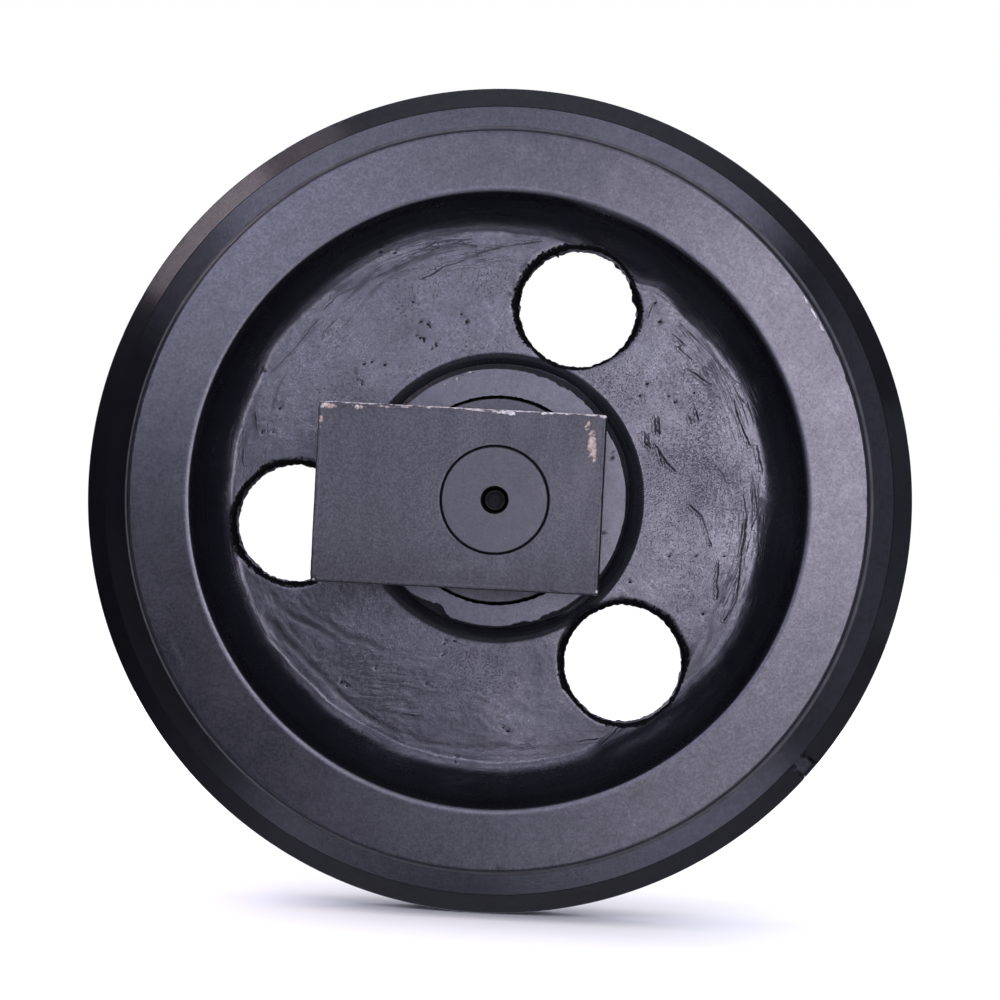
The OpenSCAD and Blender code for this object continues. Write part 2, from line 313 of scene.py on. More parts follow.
def web_pits(depth=9.0):
    """Pits in the front of the web: (x, z, half length, half width, direction), in mm."""
    spots = [(660, 322, 1.5, 0.8, 10), (655, 303, 1.2, 0.7, 30), (421, 322, 1.3, 0.6, 15), (428, 324, 1.1, 0.7, -20), (430, 327, 0.8, 0.6, 80),
             (424, 340, 1.5, 0.7, 100), (420, 338, 1.1, 0.6, 90), (417, 336, 0.8, 0.5, 20), (436, 345, 1.1, 0.6, 110), (432, 349, 0.9, 0.5, 90),
             (467, 322, 1.1, 0.9, 0), (461, 314, 0.9, 0.5, 0), (381, 252, 1.3, 0.8, 20), (395, 253, 0.9, 0.6, 0), (364, 364, 0.9, 0.6, 0),
             (372, 362, 0.8, 0.6, 0), (385, 365, 0.9, 0.6, 0), (362, 384, 1.1, 0.5, 90), (358, 380, 0.7, 0.5, 0), (355, 373, 0.6, 0.5, 0),
             (280, 408, 1.2, 0.7, 70), (262, 432, 1.2, 0.6, 80), (257, 428, 1.0, 0.5, 80), (273, 432, 0.8, 0.6, 0), (265, 371, 0.8, 0.6, 0),
             (413, 302, 0.9, 0.7, 0), (398, 309, 0.8, 0.5, 0), (412, 288, 0.7, 0.5, 90), (342, 682, 1.3, 0.9, 40), (347, 686, 1.0, 0.7, 0),
             (308, 655, 0.9, 0.6, 60), (508, 731, 1.2, 0.8, 0), (503, 728, 0.9, 0.6, 0), (455, 641, 1.3, 0.5, 5), (444, 644, 1.2, 0.6, 20),
             (443, 655, 1.1, 0.6, 30), (376, 668, 1.0, 0.5, 10), (426, 684, 0.8, 0.5, 0), (456, 762, 0.9, 0.6, 70), (696, 556, 0.9, 0.6, 0),
             (647, 384, 1.2, 0.7, 20), (640, 396, 1.0, 0.7, 0), (675, 402, 1.2, 0.7, 0), (668, 396, 0.9, 0.6, 0), (694, 393, 0.9, 0.7, 0),
             (718, 397, 1.2, 0.5, 0), (703, 614, 0.9, 0.8, 0), (669, 556, 0.9, 0.6, 60), (724, 556, 1.0, 0.6, 80), (630, 582, 0.9, 0.7, 0)]
    out = []
    for u, v, l, w, a in spots:
        x, z = at(u, v, depth)
        out.append((x, z, 0.85 * l, 0.85 * w, math.radians(a)))
    return out


THIN, SOFT, PITS = thin_lines(), soft_lines(), web_pits()


def vein_field(x, z, p):
    """Signed distance to the nearest thin line, over 1.6 mm, and that line's strength."""
    best, weight = np.full(len(x), 1.6), np.zeros(len(x))
    for pts, g in THIN:
        lo, hi = np.min(pts, axis=0) - 4, np.max(pts, axis=0) + 4
        idx = np.nonzero((x > lo[0]) & (x < hi[0]) & (z > lo[1]) & (z < hi[1]))[0]
        if len(idx) == 0:
            continue
        q = p[idx]
        px, pz = x[idx] + 0.6 * noise(q / 5, 61), z[idx] + 0.6 * noise(q / 5, 62)
        dist = np.full(len(idx), 9.0)
        for (ax, az), (bx, bz) in zip(pts[:-1], pts[1:]):
            ex, ez = bx - ax, bz - az
            t = np.clip(((px - ax) * ex + (pz - az) * ez) / (ex * ex + ez * ez + 1e-9), 0, 1)
            ox, oz = px - ax - t * ex, pz - az - t * ez
            d = np.hypot(ox, oz) * np.where(ex * oz - ez * ox >= 0, 1.0, -1.0)
            dist = np.where(np.abs(d) < np.abs(dist), d, dist)
        m = np.abs(dist) < np.abs(best[idx])
        best[idx[m]] = dist[m]
        weight[idx[m]] = (g * (0.55 + 0.75 * np.clip(noise(q / 7, 63) + 0.35, 0, 0.9)))[m]
    return best / 1.6, weight


def pit_field(x, z, side):
    """1 in the middle of a pit of the casting, a half at its edge, 0 one pit's width beyond."""
    best = np.zeros(len(x))
    if side == 0:
        spots = PITS
    else:
        rng = np.random.default_rng(11)
        spots = []
        for _ in range(60):
            r, t = rng.uniform(72, 112), rng.uniform(0, 2 * math.pi)
            long = rng.uniform() < 0.15
            spots.append((r * math.cos(t), r * math.sin(t), rng.uniform(1.6, 2.6) if long else rng.uniform(0.6, 1.0),
                          rng.uniform(0.45, 0.75), t + 1.57 + rng.normal(0, 0.3)))
    for px, pz, l, w, a in spots:
        m = (np.abs(x - px) < 9) & (np.abs(z - pz) < 9)
        if not m.any():
            continue
        ux = (x[m] - px) * math.cos(a) + (z[m] - pz) * math.sin(a)
        uz = -(x[m] - px) * math.sin(a) + (z[m] - pz) * math.cos(a)
        best[m] = np.maximum(best[m], 1 - 0.5 * np.hypot(ux / l, uz / w))
    return best


def cast_relief(x, y, z, r, th, side):
    """Height of the casting's skin over its nominal shape, in mm, and how far a point lies in a fold (0 to 1), which
    sets the painted shade there.
    """
    p = stack(x, y * 0.7 + side * 300, z)
    h = 0.32 * fbm(p / 46, 2, 3 + side) + 0.055 * fbm(p / 15, 2, 5 + side) + 0.011 * fbm(p / 4.5, 2, 9 + side)
    fold = np.zeros(len(x))
    # thin folds that run round the wheel, mostly near the rim
    drift = 2.2 * fbm(p / 26, 2, 31 + side)
    for k, (pitch, run, amp) in enumerate(((5.2, 34, 0.07), (3.1, 22, 0.045))):
        n = noise(stack((r + drift) / pitch, th * 95 / run, side * 9.0 + k * 3), 12 + side + 5 * k)
        there = smooth(noise(stack(r / 16, th * 95 / 30, k + side * 5.0), 44 + k), -0.05, 0.30)
        line = np.exp(-(n / 0.075) ** 2) * there * (0.12 + 0.88 * smooth(r, 97, 111))
        h -= amp * line
        h += 0.5 * amp * noise(stack((r + drift) / pitch, th * 95 / run, side * 9.0 + k * 3), 12 + side + 5 * k) * there * smooth(r, 90, 112)
        fold = np.maximum(fold, 0.40 * line)
    if side == 0:
        # wrinkles across the lower left and the bottom
        for (u, v), (ex, ez), tilt, pitch, amp, seed in (((330, 645), (30, 26), 0.18, 5.0, 0.022, 51), ((440, 715), (40, 15), 0.02, 4.6, 0.025, 52),
                                                         ((285, 600), (14, 12), 0.45, 4.2, 0.025, 53)):
            cx, cz = at(u, v, 9)
            m = np.exp(-(((x - cx) / ex) ** 2 + ((z - cz) / ez) ** 2)) * smooth(noise(p / 13, seed + 7), -0.35, 0.15)
            wave = np.sin(2 * math.pi * ((z + tilt * x) / pitch + 1.25 * fbm(p / 15, 2, seed)))
            h += amp * m * wave
            fold = np.maximum(fold, 0.16 * m * smooth(-wave, 0.55, 1.0))
        for pts, w, d, dim in SOFT:
            near = (np.abs(x - np.mean([q[0] for q in pts])) < 70) & (np.abs(z - np.mean([q[1] for q in pts])) < 70)
            g = groove(x[near] + 0.9 * noise(p[near] / 5, 61), z[near] + 0.9 * noise(p[near] / 5, 62), pts, w)
            g = g * (0.55 + 0.7 * np.clip(noise(p[near] / 8, 63) + 0.35, 0, 0.8))
            h[near] -= d * g
            fold[near] = np.maximum(fold[near], dim * g)
    return h, fold


def hub_shift(th, side):
    """The cast boss sits a little off the turned bore: its wall's offset by angle, in mm."""
    u = stack(np.cos(th) * 3, np.sin(th) * 3, 0.5 + 4 * side)
    d = np.degrees(th) % 360
    near = lambda a, w: np.exp(-(((d - a + 180) % 360 - 180) / w) ** 2)
    if side == 0:
        out = 1.5 * smooth(np.cos(th - math.radians(80)), -0.05, 0.6) + 0.9 * near(62, 17) + 1.3 * near(307, 13)
    else:
        out = 1.3 * smooth(np.cos(th - math.radians(200)), -0.1, 0.7)
    return np.clip(out + 0.30 * fbm(u, 2, 90 + side), 0.15, 4)


def hub_edge(th, side):
    """Radius of the rough edge of the hub's end face, by angle, in mm."""
    u = stack(np.cos(th) * 3, np.sin(th) * 3, 1.5 + 4 * side)
    d = np.degrees(th) % 360
    near = lambda a, w: np.exp(-(((d - a + 180) % 360 - 180) / w) ** 2)
    full = 55.4 + 0.22 * fbm(u * 2.5, 3, 93 + side)
    wall = 55.3 + hub_shift(th, side)
    if side == 0:
        full = full - 2.9 * near(244.5, 3.6) - 1.5 * near(238, 5) - 1.2 * near(285.5, 3.2) - 0.5 * near(297, 6)
        full = full - (near(242, 10) + near(290, 12) + 0.6 * near(60, 25)) * np.clip(1.2 * fbm(u * 6, 2, 92), -0.6, 1.0)
    return np.minimum(full, np.maximum(wall, full - 1.2))


def build_wheel():
    half = wheel_profile()
    n_half = len(half)
    loop = np.concatenate([half, [(r, -a, c) for r, a, c in half[-2:0:-1]]])
    m = len(loop)
    nxt, prv = np.roll(loop[:, :2], -1, 0), np.roll(loop[:, :2], 1, 0)
    t = nxt - prv
    t /= np.linalg.norm(t, axis=1)[:, None] + 1e-12
    nrm = np.stack([t[:, 1], -t[:, 0]], 1)
    th = np.linspace(0, 2 * math.pi, N_W, endpoint=False)
    R = np.repeat(loop[:, 0], N_W)
    A = np.repeat(loop[:, 1], N_W)
    C = np.repeat(loop[:, 2], N_W)
    NR = np.repeat(nrm[:, 0], N_W)
    NA = np.repeat(nrm[:, 1], N_W)
    T = np.tile(th, m)
    x, z = R * np.cos(T), R * np.sin(T)
    r0 = R.copy()

    # the casting's skin: strongest on the web, fading towards the turned edges
    for side, sel in ((0, A > 0), (1, A < 0)):
        s = np.nonzero(sel & (C > 0))[0]
        a = np.abs(A[s])
        fade = smooth(a, 36.5, 26) * smooth(a, 44, 30)
        relief, _ = cast_relief(x[s], -A[s], z[s], R[s], T[s], side)
        pit = 0.22 * smooth(pit_field(x[s], z[s], side), 0.25, 0.9) * smooth(a, 16, 11)
        h = relief * (0.10 + 0.90 * fade) - pit
        # worn-round lips of the holes through the web
        for k, (hr, ha) in enumerate(HOLES):
            cx, cz = hr * math.cos(math.radians(ha)), hr * math.sin(math.radians(ha))
            near = np.hypot(x[s] - cx, z[s] - cz) < 36
            dx, dz = x[s][near] - cx, z[s][near] - cz
            edge, lip = hole_edge(k, np.arctan2(dz, dx), side)
            q = np.clip(np.hypot(dx, dz) - edge, 0, lip)
            push = lip - np.sqrt(np.clip(lip ** 2 - (lip - q) ** 2, 0, None))
            inside = np.hypot(dx, dz) < edge
            keep = np.where(inside, 0.0, smooth(q, 0, lip))
            h[near] = h[near] * (0.35 + 0.65 * keep) - push
        R[s] += NR[s] * h
        A[s] += NA[s] * h

    # the wall's foot wanders a little in and out round the wheel
    for side, sel in ((0, A > 0), (1, A < 0)):
        d = np.degrees(T) % 360
        near = lambda a, w: np.exp(-(((d - a + 180) % 360 - 180) / w) ** 2)
        foot = 0.7 * fbm(stack(np.cos(T) * 7, np.sin(T) * 7, 2.5 + side), 3, 160 + side)
        if side == 0:
            wide = lambda a, w: 1 / (1 + (((d - a + 180) % 360 - 180) / w) ** 6)
            foot = foot - 2.0 * near(348, 14) + 0.6 * near(20, 13) + 1.6 * near(113, 14) - 2.8 * near(46, 8) - 4.6 * wide(65, 7)
            foot = foot + 1.3 * near(147, 8) - 2.3 * wide(260, 36) - 4.4 * wide(304, 9) - 2.8 * near(319, 8) - 1.0 * near(355, 7)
        R += np.where(sel & (C > 0), foot * smooth(r0, 108, 118) * smooth(r0, 131, 123), 0)

    # the boss: cast a little off centre, so the turned end face leaves a ledge at one side and runs out at the other
    a0 = np.abs(np.repeat(loop[:, 1], N_W))
    for side, sel in ((0, A > 0), (1, A < 0)):
        shift, edge = hub_shift(T, side), hub_edge(T, side)
        wall = sel & (r0 <= 67.0) & (a0 < 41.6) & (C > 0) | sel & (np.abs(r0 - 55.55) < 0.01) & (a0 < 41.6)
        R[wall] += (shift * smooth(a0, 20.0, 39.5))[wall]
        rough = 0.30 * fbm(stack(x / 2.6, A / 6, z / 2.6), 2, 97 + side)
        A[wall] += (np.sign(A) * rough * smooth(a0, 38, 41) * (shift > 0.3))[wall]
        top = sel & (r0 <= 55.56) & (r0 >= 44.79) & (a0 > 41.8)
        R[top] += ((edge - 55.55) * smooth(r0, 46.0, 55.0))[top]
        off = (1.25 * np.sin(T) - 0.15 * np.cos(T)) if side == 0 else (0.5 * np.sin(T) + 0.6 * np.cos(T))
        boss = np.where(C > 0, smooth(r0, 80, 64.5), smooth(r0, 46.0, 55.0) * (r0 < 56) * (a0 > 39))
        R += np.where(sel, off * boss, 0)

    # small unevenness of the turned edges, and one shallow patch on the flange's bevel
    edge = np.exp(-((np.abs(np.repeat(loop[:, 1], N_W)) - 38) / 1.6) ** 2) * np.exp(-((r0 - 159.4) / 1.5) ** 2)
    edge += np.exp(-((np.abs(np.repeat(loop[:, 1], N_W)) - 12) / 1.3) ** 2) * np.exp(-((r0 - 179.6) / 1.2) ** 2)
    nick = np.clip(fbm(stack(x / 7, z / 7, A / 7), 2, 21) - 0.42, 0, 1) * 0.4
    R -= edge * nick
    A -= np.sign(A) * edge * nick
    patch = at(805, 765, 17)
    step = 2 * math.pi / N_W
    pa = round(math.atan2(patch[1], patch[0]) / step) * step
    d = np.abs(np.angle(np.exp(1j * (T - pa)))) * 176
    on = (A > 9) & (r0 > 170.9)
    across = 1 - smooth(d, 3.4, 4.4)
    lift = across * np.maximum(20.66 - 0.2126 * (r0 - 171.11) - A, 0)
    A = np.where(on, A + lift * smooth(np.repeat(loop[:, 1], N_W), 9, 11.4), A)
    R = np.where(on, R - 0.8 * across * smooth(r0, 178.0, 179.5), R)

    verts = stack(R * np.cos(T), -A, R * np.sin(T))
    ob = new_object("wheel_casting", verts, ring_faces(m, N_W)[:, ::-1])
    return ob


def hole_cutter(k):
    """Rough burnt hole through the web, with the furrows of the flame down its wall."""
    n, rows = 320, 25
    hr, ha = HOLES[k]
    cx, cz = hr * math.cos(math.radians(ha)), hr * math.sin(math.radians(ha))
    ph = np.linspace(0, 2 * math.pi, n, endpoint=False)
    ys = np.linspace(-15, 15, rows)
    P, Y = np.meshgrid(ph, ys)
    P, Y = P.ravel(), Y.ravel()
    front, _ = hole_edge(k, P, 0)
    rear, _ = hole_edge(k, P, 1)
    w = smooth(Y, -9, 9)
    r = front * (1 - w) + rear * w
    slant = P + 0.004 * Y
    u = stack(np.cos(slant) * 26 / 2.6, np.sin(slant) * 26 / 2.6, Y / 14 + 5 * k)
    r = r + 0.60 * fbm(u, 2, 130 + k) + 0.42 * noise(u * 2.1, 140 + k)
    spur = np.clip(noise(stack(np.cos(P) * 26 / 5, np.sin(P) * 26 / 5, Y / 8 + 9 * k), 150 + k) - 0.5, 0, 1)
    r = r - 1.9 * spur
    if k == 0:         # a burr at the right of the upper hole and a thin spur at its top
        for (bu, bv), wide, tall in (((632, 300), 0.13, 2.3), ((627, 288), 0.06, 1.6), ((558.5, 257), 0.030, 2.4)):
            bx, bz = at(bu, bv, 9)
            d = np.angle(np.exp(1j * (P - math.atan2(bz - cz, bx - cx))))
            r = r - tall * np.exp(-(d / wide) ** 2) * np.exp(-((Y + 8) / 6) ** 2)
    v = stack(cx + r * np.cos(P), Y, cz + r * np.sin(P))
    f = ring_faces(rows, n, closed=False)
    tris = [np.stack([f[:, 0], f[:, 1], f[:, 2]], 1), np.stack([f[:, 0], f[:, 2], f[:, 3]], 1)]
    c0, c1 = len(v), len(v) + 1
    v = np.concatenate([v, [(cx, -15, cz), (cx, 15, cz)]])
    j = np.arange(n)
    last = (rows - 1) * n
    tris.append(np.stack([(j + 1) % n, j, np.full(n, c0)], 1))
    tris.append(np.stack([last + j, last + (j + 1) % n, np.full(n, c1)], 1))
    ob = new_object("cutter_%d" % k, v, np.concatenate(tris)[:, ::-1])
    return ob


wheel = build_wheel()
cut_away(wheel, [hole_cutter(k) for k in range(3)])


def streak(x, z, u, v, half_l, half_w, deg, depth):
    """Soft long mark at a pixel of the frame, 0 to 1."""
    cx, cz = at(u, v, depth)
    a = math.radians(deg)
    dx, dz = x - cx, z - cz
    p = dx * math.cos(a) + dz * math.sin(a)
    q = -dx * math.sin(a) + dz * math.cos(a)
    return np.exp(-((p / half_l) ** 2 + (q / half_w) ** 2))


def mark_wheel():
    me = wheel.data
    p = point_array(me)
    x, y, z = p.T
    r = np.hypot(x, z)
    th = np.arctan2(z, x)
    ay = np.abs(y)
    cast = ((r < 133.6) & (r > 54.6) & (ay < 42.5)).astype(float)
    cast *= smooth(ay, 37.4, 35.0) * smooth(r, 54.6, 55.4)
    front = y < -30
    scuff = np.zeros(len(p))
    chip = np.zeros(len(p))
    for u, v, l, w, d, g in ((612, 190, 16, 2.6, 76, 0.55), (636, 178, 17, 3.2, 74, 0.45), (655, 176, 13, 2.0, 73, 0.4),
                             (640, 822, 6, 2.6, 40, 0.9), (655, 832, 5, 1.6, 50, 0.6), (180, 660, 9, 0.9, 115, 0.45),
                             (798, 638, 6, 0.7, 2, 0.5), (826, 468, 3.5, 2.6, 60, 0.35), (815, 345, 11, 5.0, 125, 0.4),
                             (508, 150, 24, 4.0, 0, 0.22), (262, 300, 14, 4.0, 48, 0.22), (205, 420, 12, 3.0, 75, 0.2)):
        scuff += g * streak(x, z, u, v, l, w, d, 38) * front
    for u, v, l, w, d in ((806, 300, 3.0, 0.45, 121), (813, 312, 4.0, 0.5, 121), (822, 328, 3.5, 0.45, 119), (830, 345, 2.0, 0.4, 118),
                          (616, 158, 3.0, 0.4, 158), (860, 620, 2.0, 0.4, 70)):
        chip = np.maximum(chip, streak(x, z, u, v, l, w, d, 37.4) * (y < -34) * (r > 157.5))
    chip = np.maximum(chip, 0.95 * streak(x, z, 759.6, 592, 1.7, 0.75, 80, 20) * (y < -12) * (cast > 0))
    # flaked paint on the hub's end face, at the upper left
    hub_face = (y < -43.2) & (r > 44.9)
    for u, v, l, w, d, g in ((458, 377.5, 5.0, 1.2, 28, 0.72), (470, 373, 2.6, 1.0, 20, 0.68), (446, 383, 2.6, 1.0, 32, 0.62), (470, 602, 2.0, 0.7, 150, 0.40)):
        chip = np.maximum(chip, g * streak(x, z, u, v, l, w, d, 44) * hub_face)
    rim_edge = np.exp(-((r - 159.3) / 0.9) ** 2) * (ay > 35.5)
    fe = np.exp(-((r - 179.4) / 0.8) ** 2)
    grain = fbm(stack(x / 10, y / 10, z / 10), 2, 77)
    chip = np.maximum(chip, 0.42 * smooth(grain, 0.45, 0.75) * np.maximum(rim_edge, fe))
    dark = np.zeros(len(p))
    speck = np.zeros(len(p))
    pit = np.zeros(len(p))
    for side in (0, 1):
        m = (cast > 0) & ((y < 0) if side == 0 else (y > 0))
        _, fold = cast_relief(x[m], y[m], z[m], r[m], th[m] % (2 * math.pi), side)
        # painted shade in the casting's folds and furrows
        dark[m] = fold * smooth(ay[m], 34, 24)
        pit[m] = pit_field(x[m], z[m], side) * smooth(ay[m], 16, 11)
        patchy = 0.5 + 0.9 * fbm(stack(x[m] / 30, y[m] / 30, z[m] / 30), 2, 81 + side)
        if side == 0:
            for u, v, w, g in ((690, 450, 32, 0.75), (690, 590, 26, 0.12), (724, 612, 11, 0.5), (620, 400, 16, 0.5), (440, 330, 26, 0.2), (450, 660, 26, 0.45), (400, 700, 30, 0.3)):
                cx, cz = at(u, v, 9)
                patchy = patchy + g * np.exp(-(((x[m] - cx) / w) ** 2 + ((z[m] - cz) / w) ** 2)) - 0.04
        speck[m] = np.clip(patchy, 0, 1)
    for u, v, l, w, d, g in ((612.5, 458, 1.0, 0.7, 60, 0.9), (613, 452, 0.8, 0.5, 40, 0.6), (604, 533, 1.0, 0.8, 20, 0.7)):
        dark = np.maximum(dark, g * streak(x, z, u, v, l, w, d, 44) * hub_face)
    # painted shade on the boss's narrow ledge, lighter on its upper side as a painted highlight
    ledge = (r > 46.0) & (ay > 39.6) & (ay < 43.2) & (r < 61)
    upper = smooth(np.cos(th - math.radians(85)), 0.0, 0.4)
    dark = np.where(ledge, np.maximum(dark, 0.95 - 0.33 * upper), dark)
    broken = smooth(fbm(stack(x / 3.2, y / 3.2, z / 3.2), 2, 171), -0.25, 0.25)
    for u, v, l, w, d, g in ((622, 597, 5, 1.3, 8, 0.5), (512, 291, 4, 1.6, 80, 0.7), (524, 267, 4, 1.3, 55, 0.55), (690, 652, 6, 1.5, 78, 0.6)):
        dark = np.maximum(dark, g * broken * streak(x, z, u, v, l, w, d, 9) * (y < 0) * (ay < 16) * (cast > 0))
    # painted shade: the rim's wall turns dark abruptly at the upper left and at the lower right, by the tilt of its
    # surface
    nv = np.empty(len(p) * 3, dtype=np.float32)
    me.vertex_normals.foreach_get("vector", nv)
    nv = nv.reshape(-1, 3).astype(float)
    tilt = np.degrees(np.arccos(np.clip(np.abs(nv[:, 1]), 0, 1)))
    foot = (y < -8) & (r > 108) & (r < 132) & (cast > 0) & (nv[:, 0] * x + nv[:, 2] * z < 0)
    turn = 20.5 - 2.5 * np.cos(th - math.radians(138))
    steep = smooth(tilt, turn - 3, turn + 3) * (1 - 0.75 * smooth(tilt, turn + 6, turn + 18))
    steep = steep * smooth(np.cos(2 * (th - math.radians(138))), 0.0, 0.7) * foot
    dark = np.maximum(dark, 0.85 * steep)
    set_attribute(me, "dark", dark)
    set_attribute(me, "pit", pit)
    front_web = (y < 0) & (ay < 16) & (cast > 0)
    vein, strength = np.ones(len(p)), np.zeros(len(p))
    vein[front_web], strength[front_web] = vein_field(x[front_web], z[front_web], p[front_web])
    set_attribute(me, "vein", vein)
    set_attribute(me, "vein_strength", strength)
    cx, cz = at(388, 684, 9)
    set_attribute(me, "ripple", np.exp(-(((x - cx) / 24) ** 2 + ((z - cz) / 15) ** 2)) * front_web)
    # where the thin flow lines of the melt show
    flow = 0.30 * smooth(r, 94, 108) * (cast > 0) * smooth(ay, 16, 11)
    for u, v, ex, ez, g in ((440, 250, 26, 8, 0.8), (372, 275, 20, 10, 0.5), (310, 330, 20, 16, 0.35), (752, 400, 10, 34, 0.9), (757, 520, 9, 46, 1.0),
                            (715, 350, 16, 22, 0.6), (738, 610, 14, 24, 0.7), (395, 728, 40, 9, 0.4), (250, 440, 8, 20, 0.6), (540, 748, 26, 7, 0.5), (690, 470, 26, 40, 0.2)):
        cx, cz = at(u, v, 9)
        flow = np.maximum(flow, g * np.exp(-(((x - cx) / ex) ** 2 + ((z - cz) / ez) ** 2)) * (cast > 0) * smooth(ay, 16, 11) * (y < 0))
    set_attribute(me, "flow", flow)
    set_attribute(me, "speck", speck)
    land = np.where(r > 170, smooth(r, 179.5, 179.8) * smooth(ay, 12.0, 11.6), smooth(r, 159.5, 159.8) * smooth(r, 160.35, 160.1) * smooth(ay, 37.4, 36.9))
    set_attribute(me, "land", land)
    set_attribute(me, "cast", cast)
    set_attribute(me, "scuff", np.clip(scuff, 0, 1))
    set_attribute(me, "chip", np.clip(chip, 0, 1))
    # 1 at the edge of a burnt hole, 0 at the end of its lip, less beyond
    wall = np.full(len(p), -1.0)
    for k, (hr, ha) in enumerate(HOLES):
        cx, cz = hr * math.cos(math.radians(ha)), hr * math.sin(math.radians(ha))
        near = (np.hypot(x - cx, z - cz) < 36) & (ay < 16)
        for side in (0, 1):
            m = near & ((y < 0) if side == 0 else (y >= 0))
            edge, lip = hole_edge(k, np.arctan2(z[m] - cz, x[m] - cx), side)
            wall[m] = np.maximum(wall[m], np.clip(1 - (np.hypot(x[m] - cx, z[m] - cz) - edge) / (0.85 * lip), -1, 1))
    set_attribute(me, "wall", wall)


mark_wheel()
finish_mesh(wheel)

# ------------------------------------------------------------------ slide blocks
N_B = 520
BX0, BX1, BH = -75.0, 45.0, 37.5
B_IN, B_OUT = 53.0, 88.0
EDGE = 0.55


def block_outline(inset, radius, n):
    """Points round the block's outline, starting at the middle of its right side."""
    x0, x1, h = BX0 + inset, BX1 - inset, BH - inset
    rad = max(radius - inset, 0.05)
    corners = [((x1 - rad, h - rad), 0), ((x0 + rad, h - rad), 90), ((x0 + rad, -h + rad), 180), ((x1 - rad, -h + rad), 270)]
    sides = [(x1, 0.0)]
    pts = []
    k = 6
    per = {"right": 90, "top": 150, "left": 90, "bottom": 150}
    def straight(a, b, cnt, mid=False):
        # closer together towards both ends
        for i in range(cnt):
            t = i / cnt
            t = t + 0.10 * math.sin(2 * math.pi * t) * -1 / 1.0 * 0.9 if not mid else t
            pts.append((a[0] + (b[0] - a[0]) * t, a[1] + (b[1] - a[1]) * t))
    def corner(c, a0):
        for i in range(k):
            t = math.radians(a0 + 90.0 * i / k)
            pts.append((c[0] + rad * math.cos(t), c[1] + rad * math.sin(t)))
    corner(*corners[0])
    straight((x1 - rad, h), (x0 + rad, h), 154)
    corner(*corners[1])
    straight((x0, h - rad), (x0, -h + rad), 94)
    corner(*corners[2])
    straight((x0 + rad, -h), (x1 - rad, -h), 154)
    corner(*corners[3])
    straight((x1, -h + rad), (x1, h - rad), 94)
    return np.array(pts)


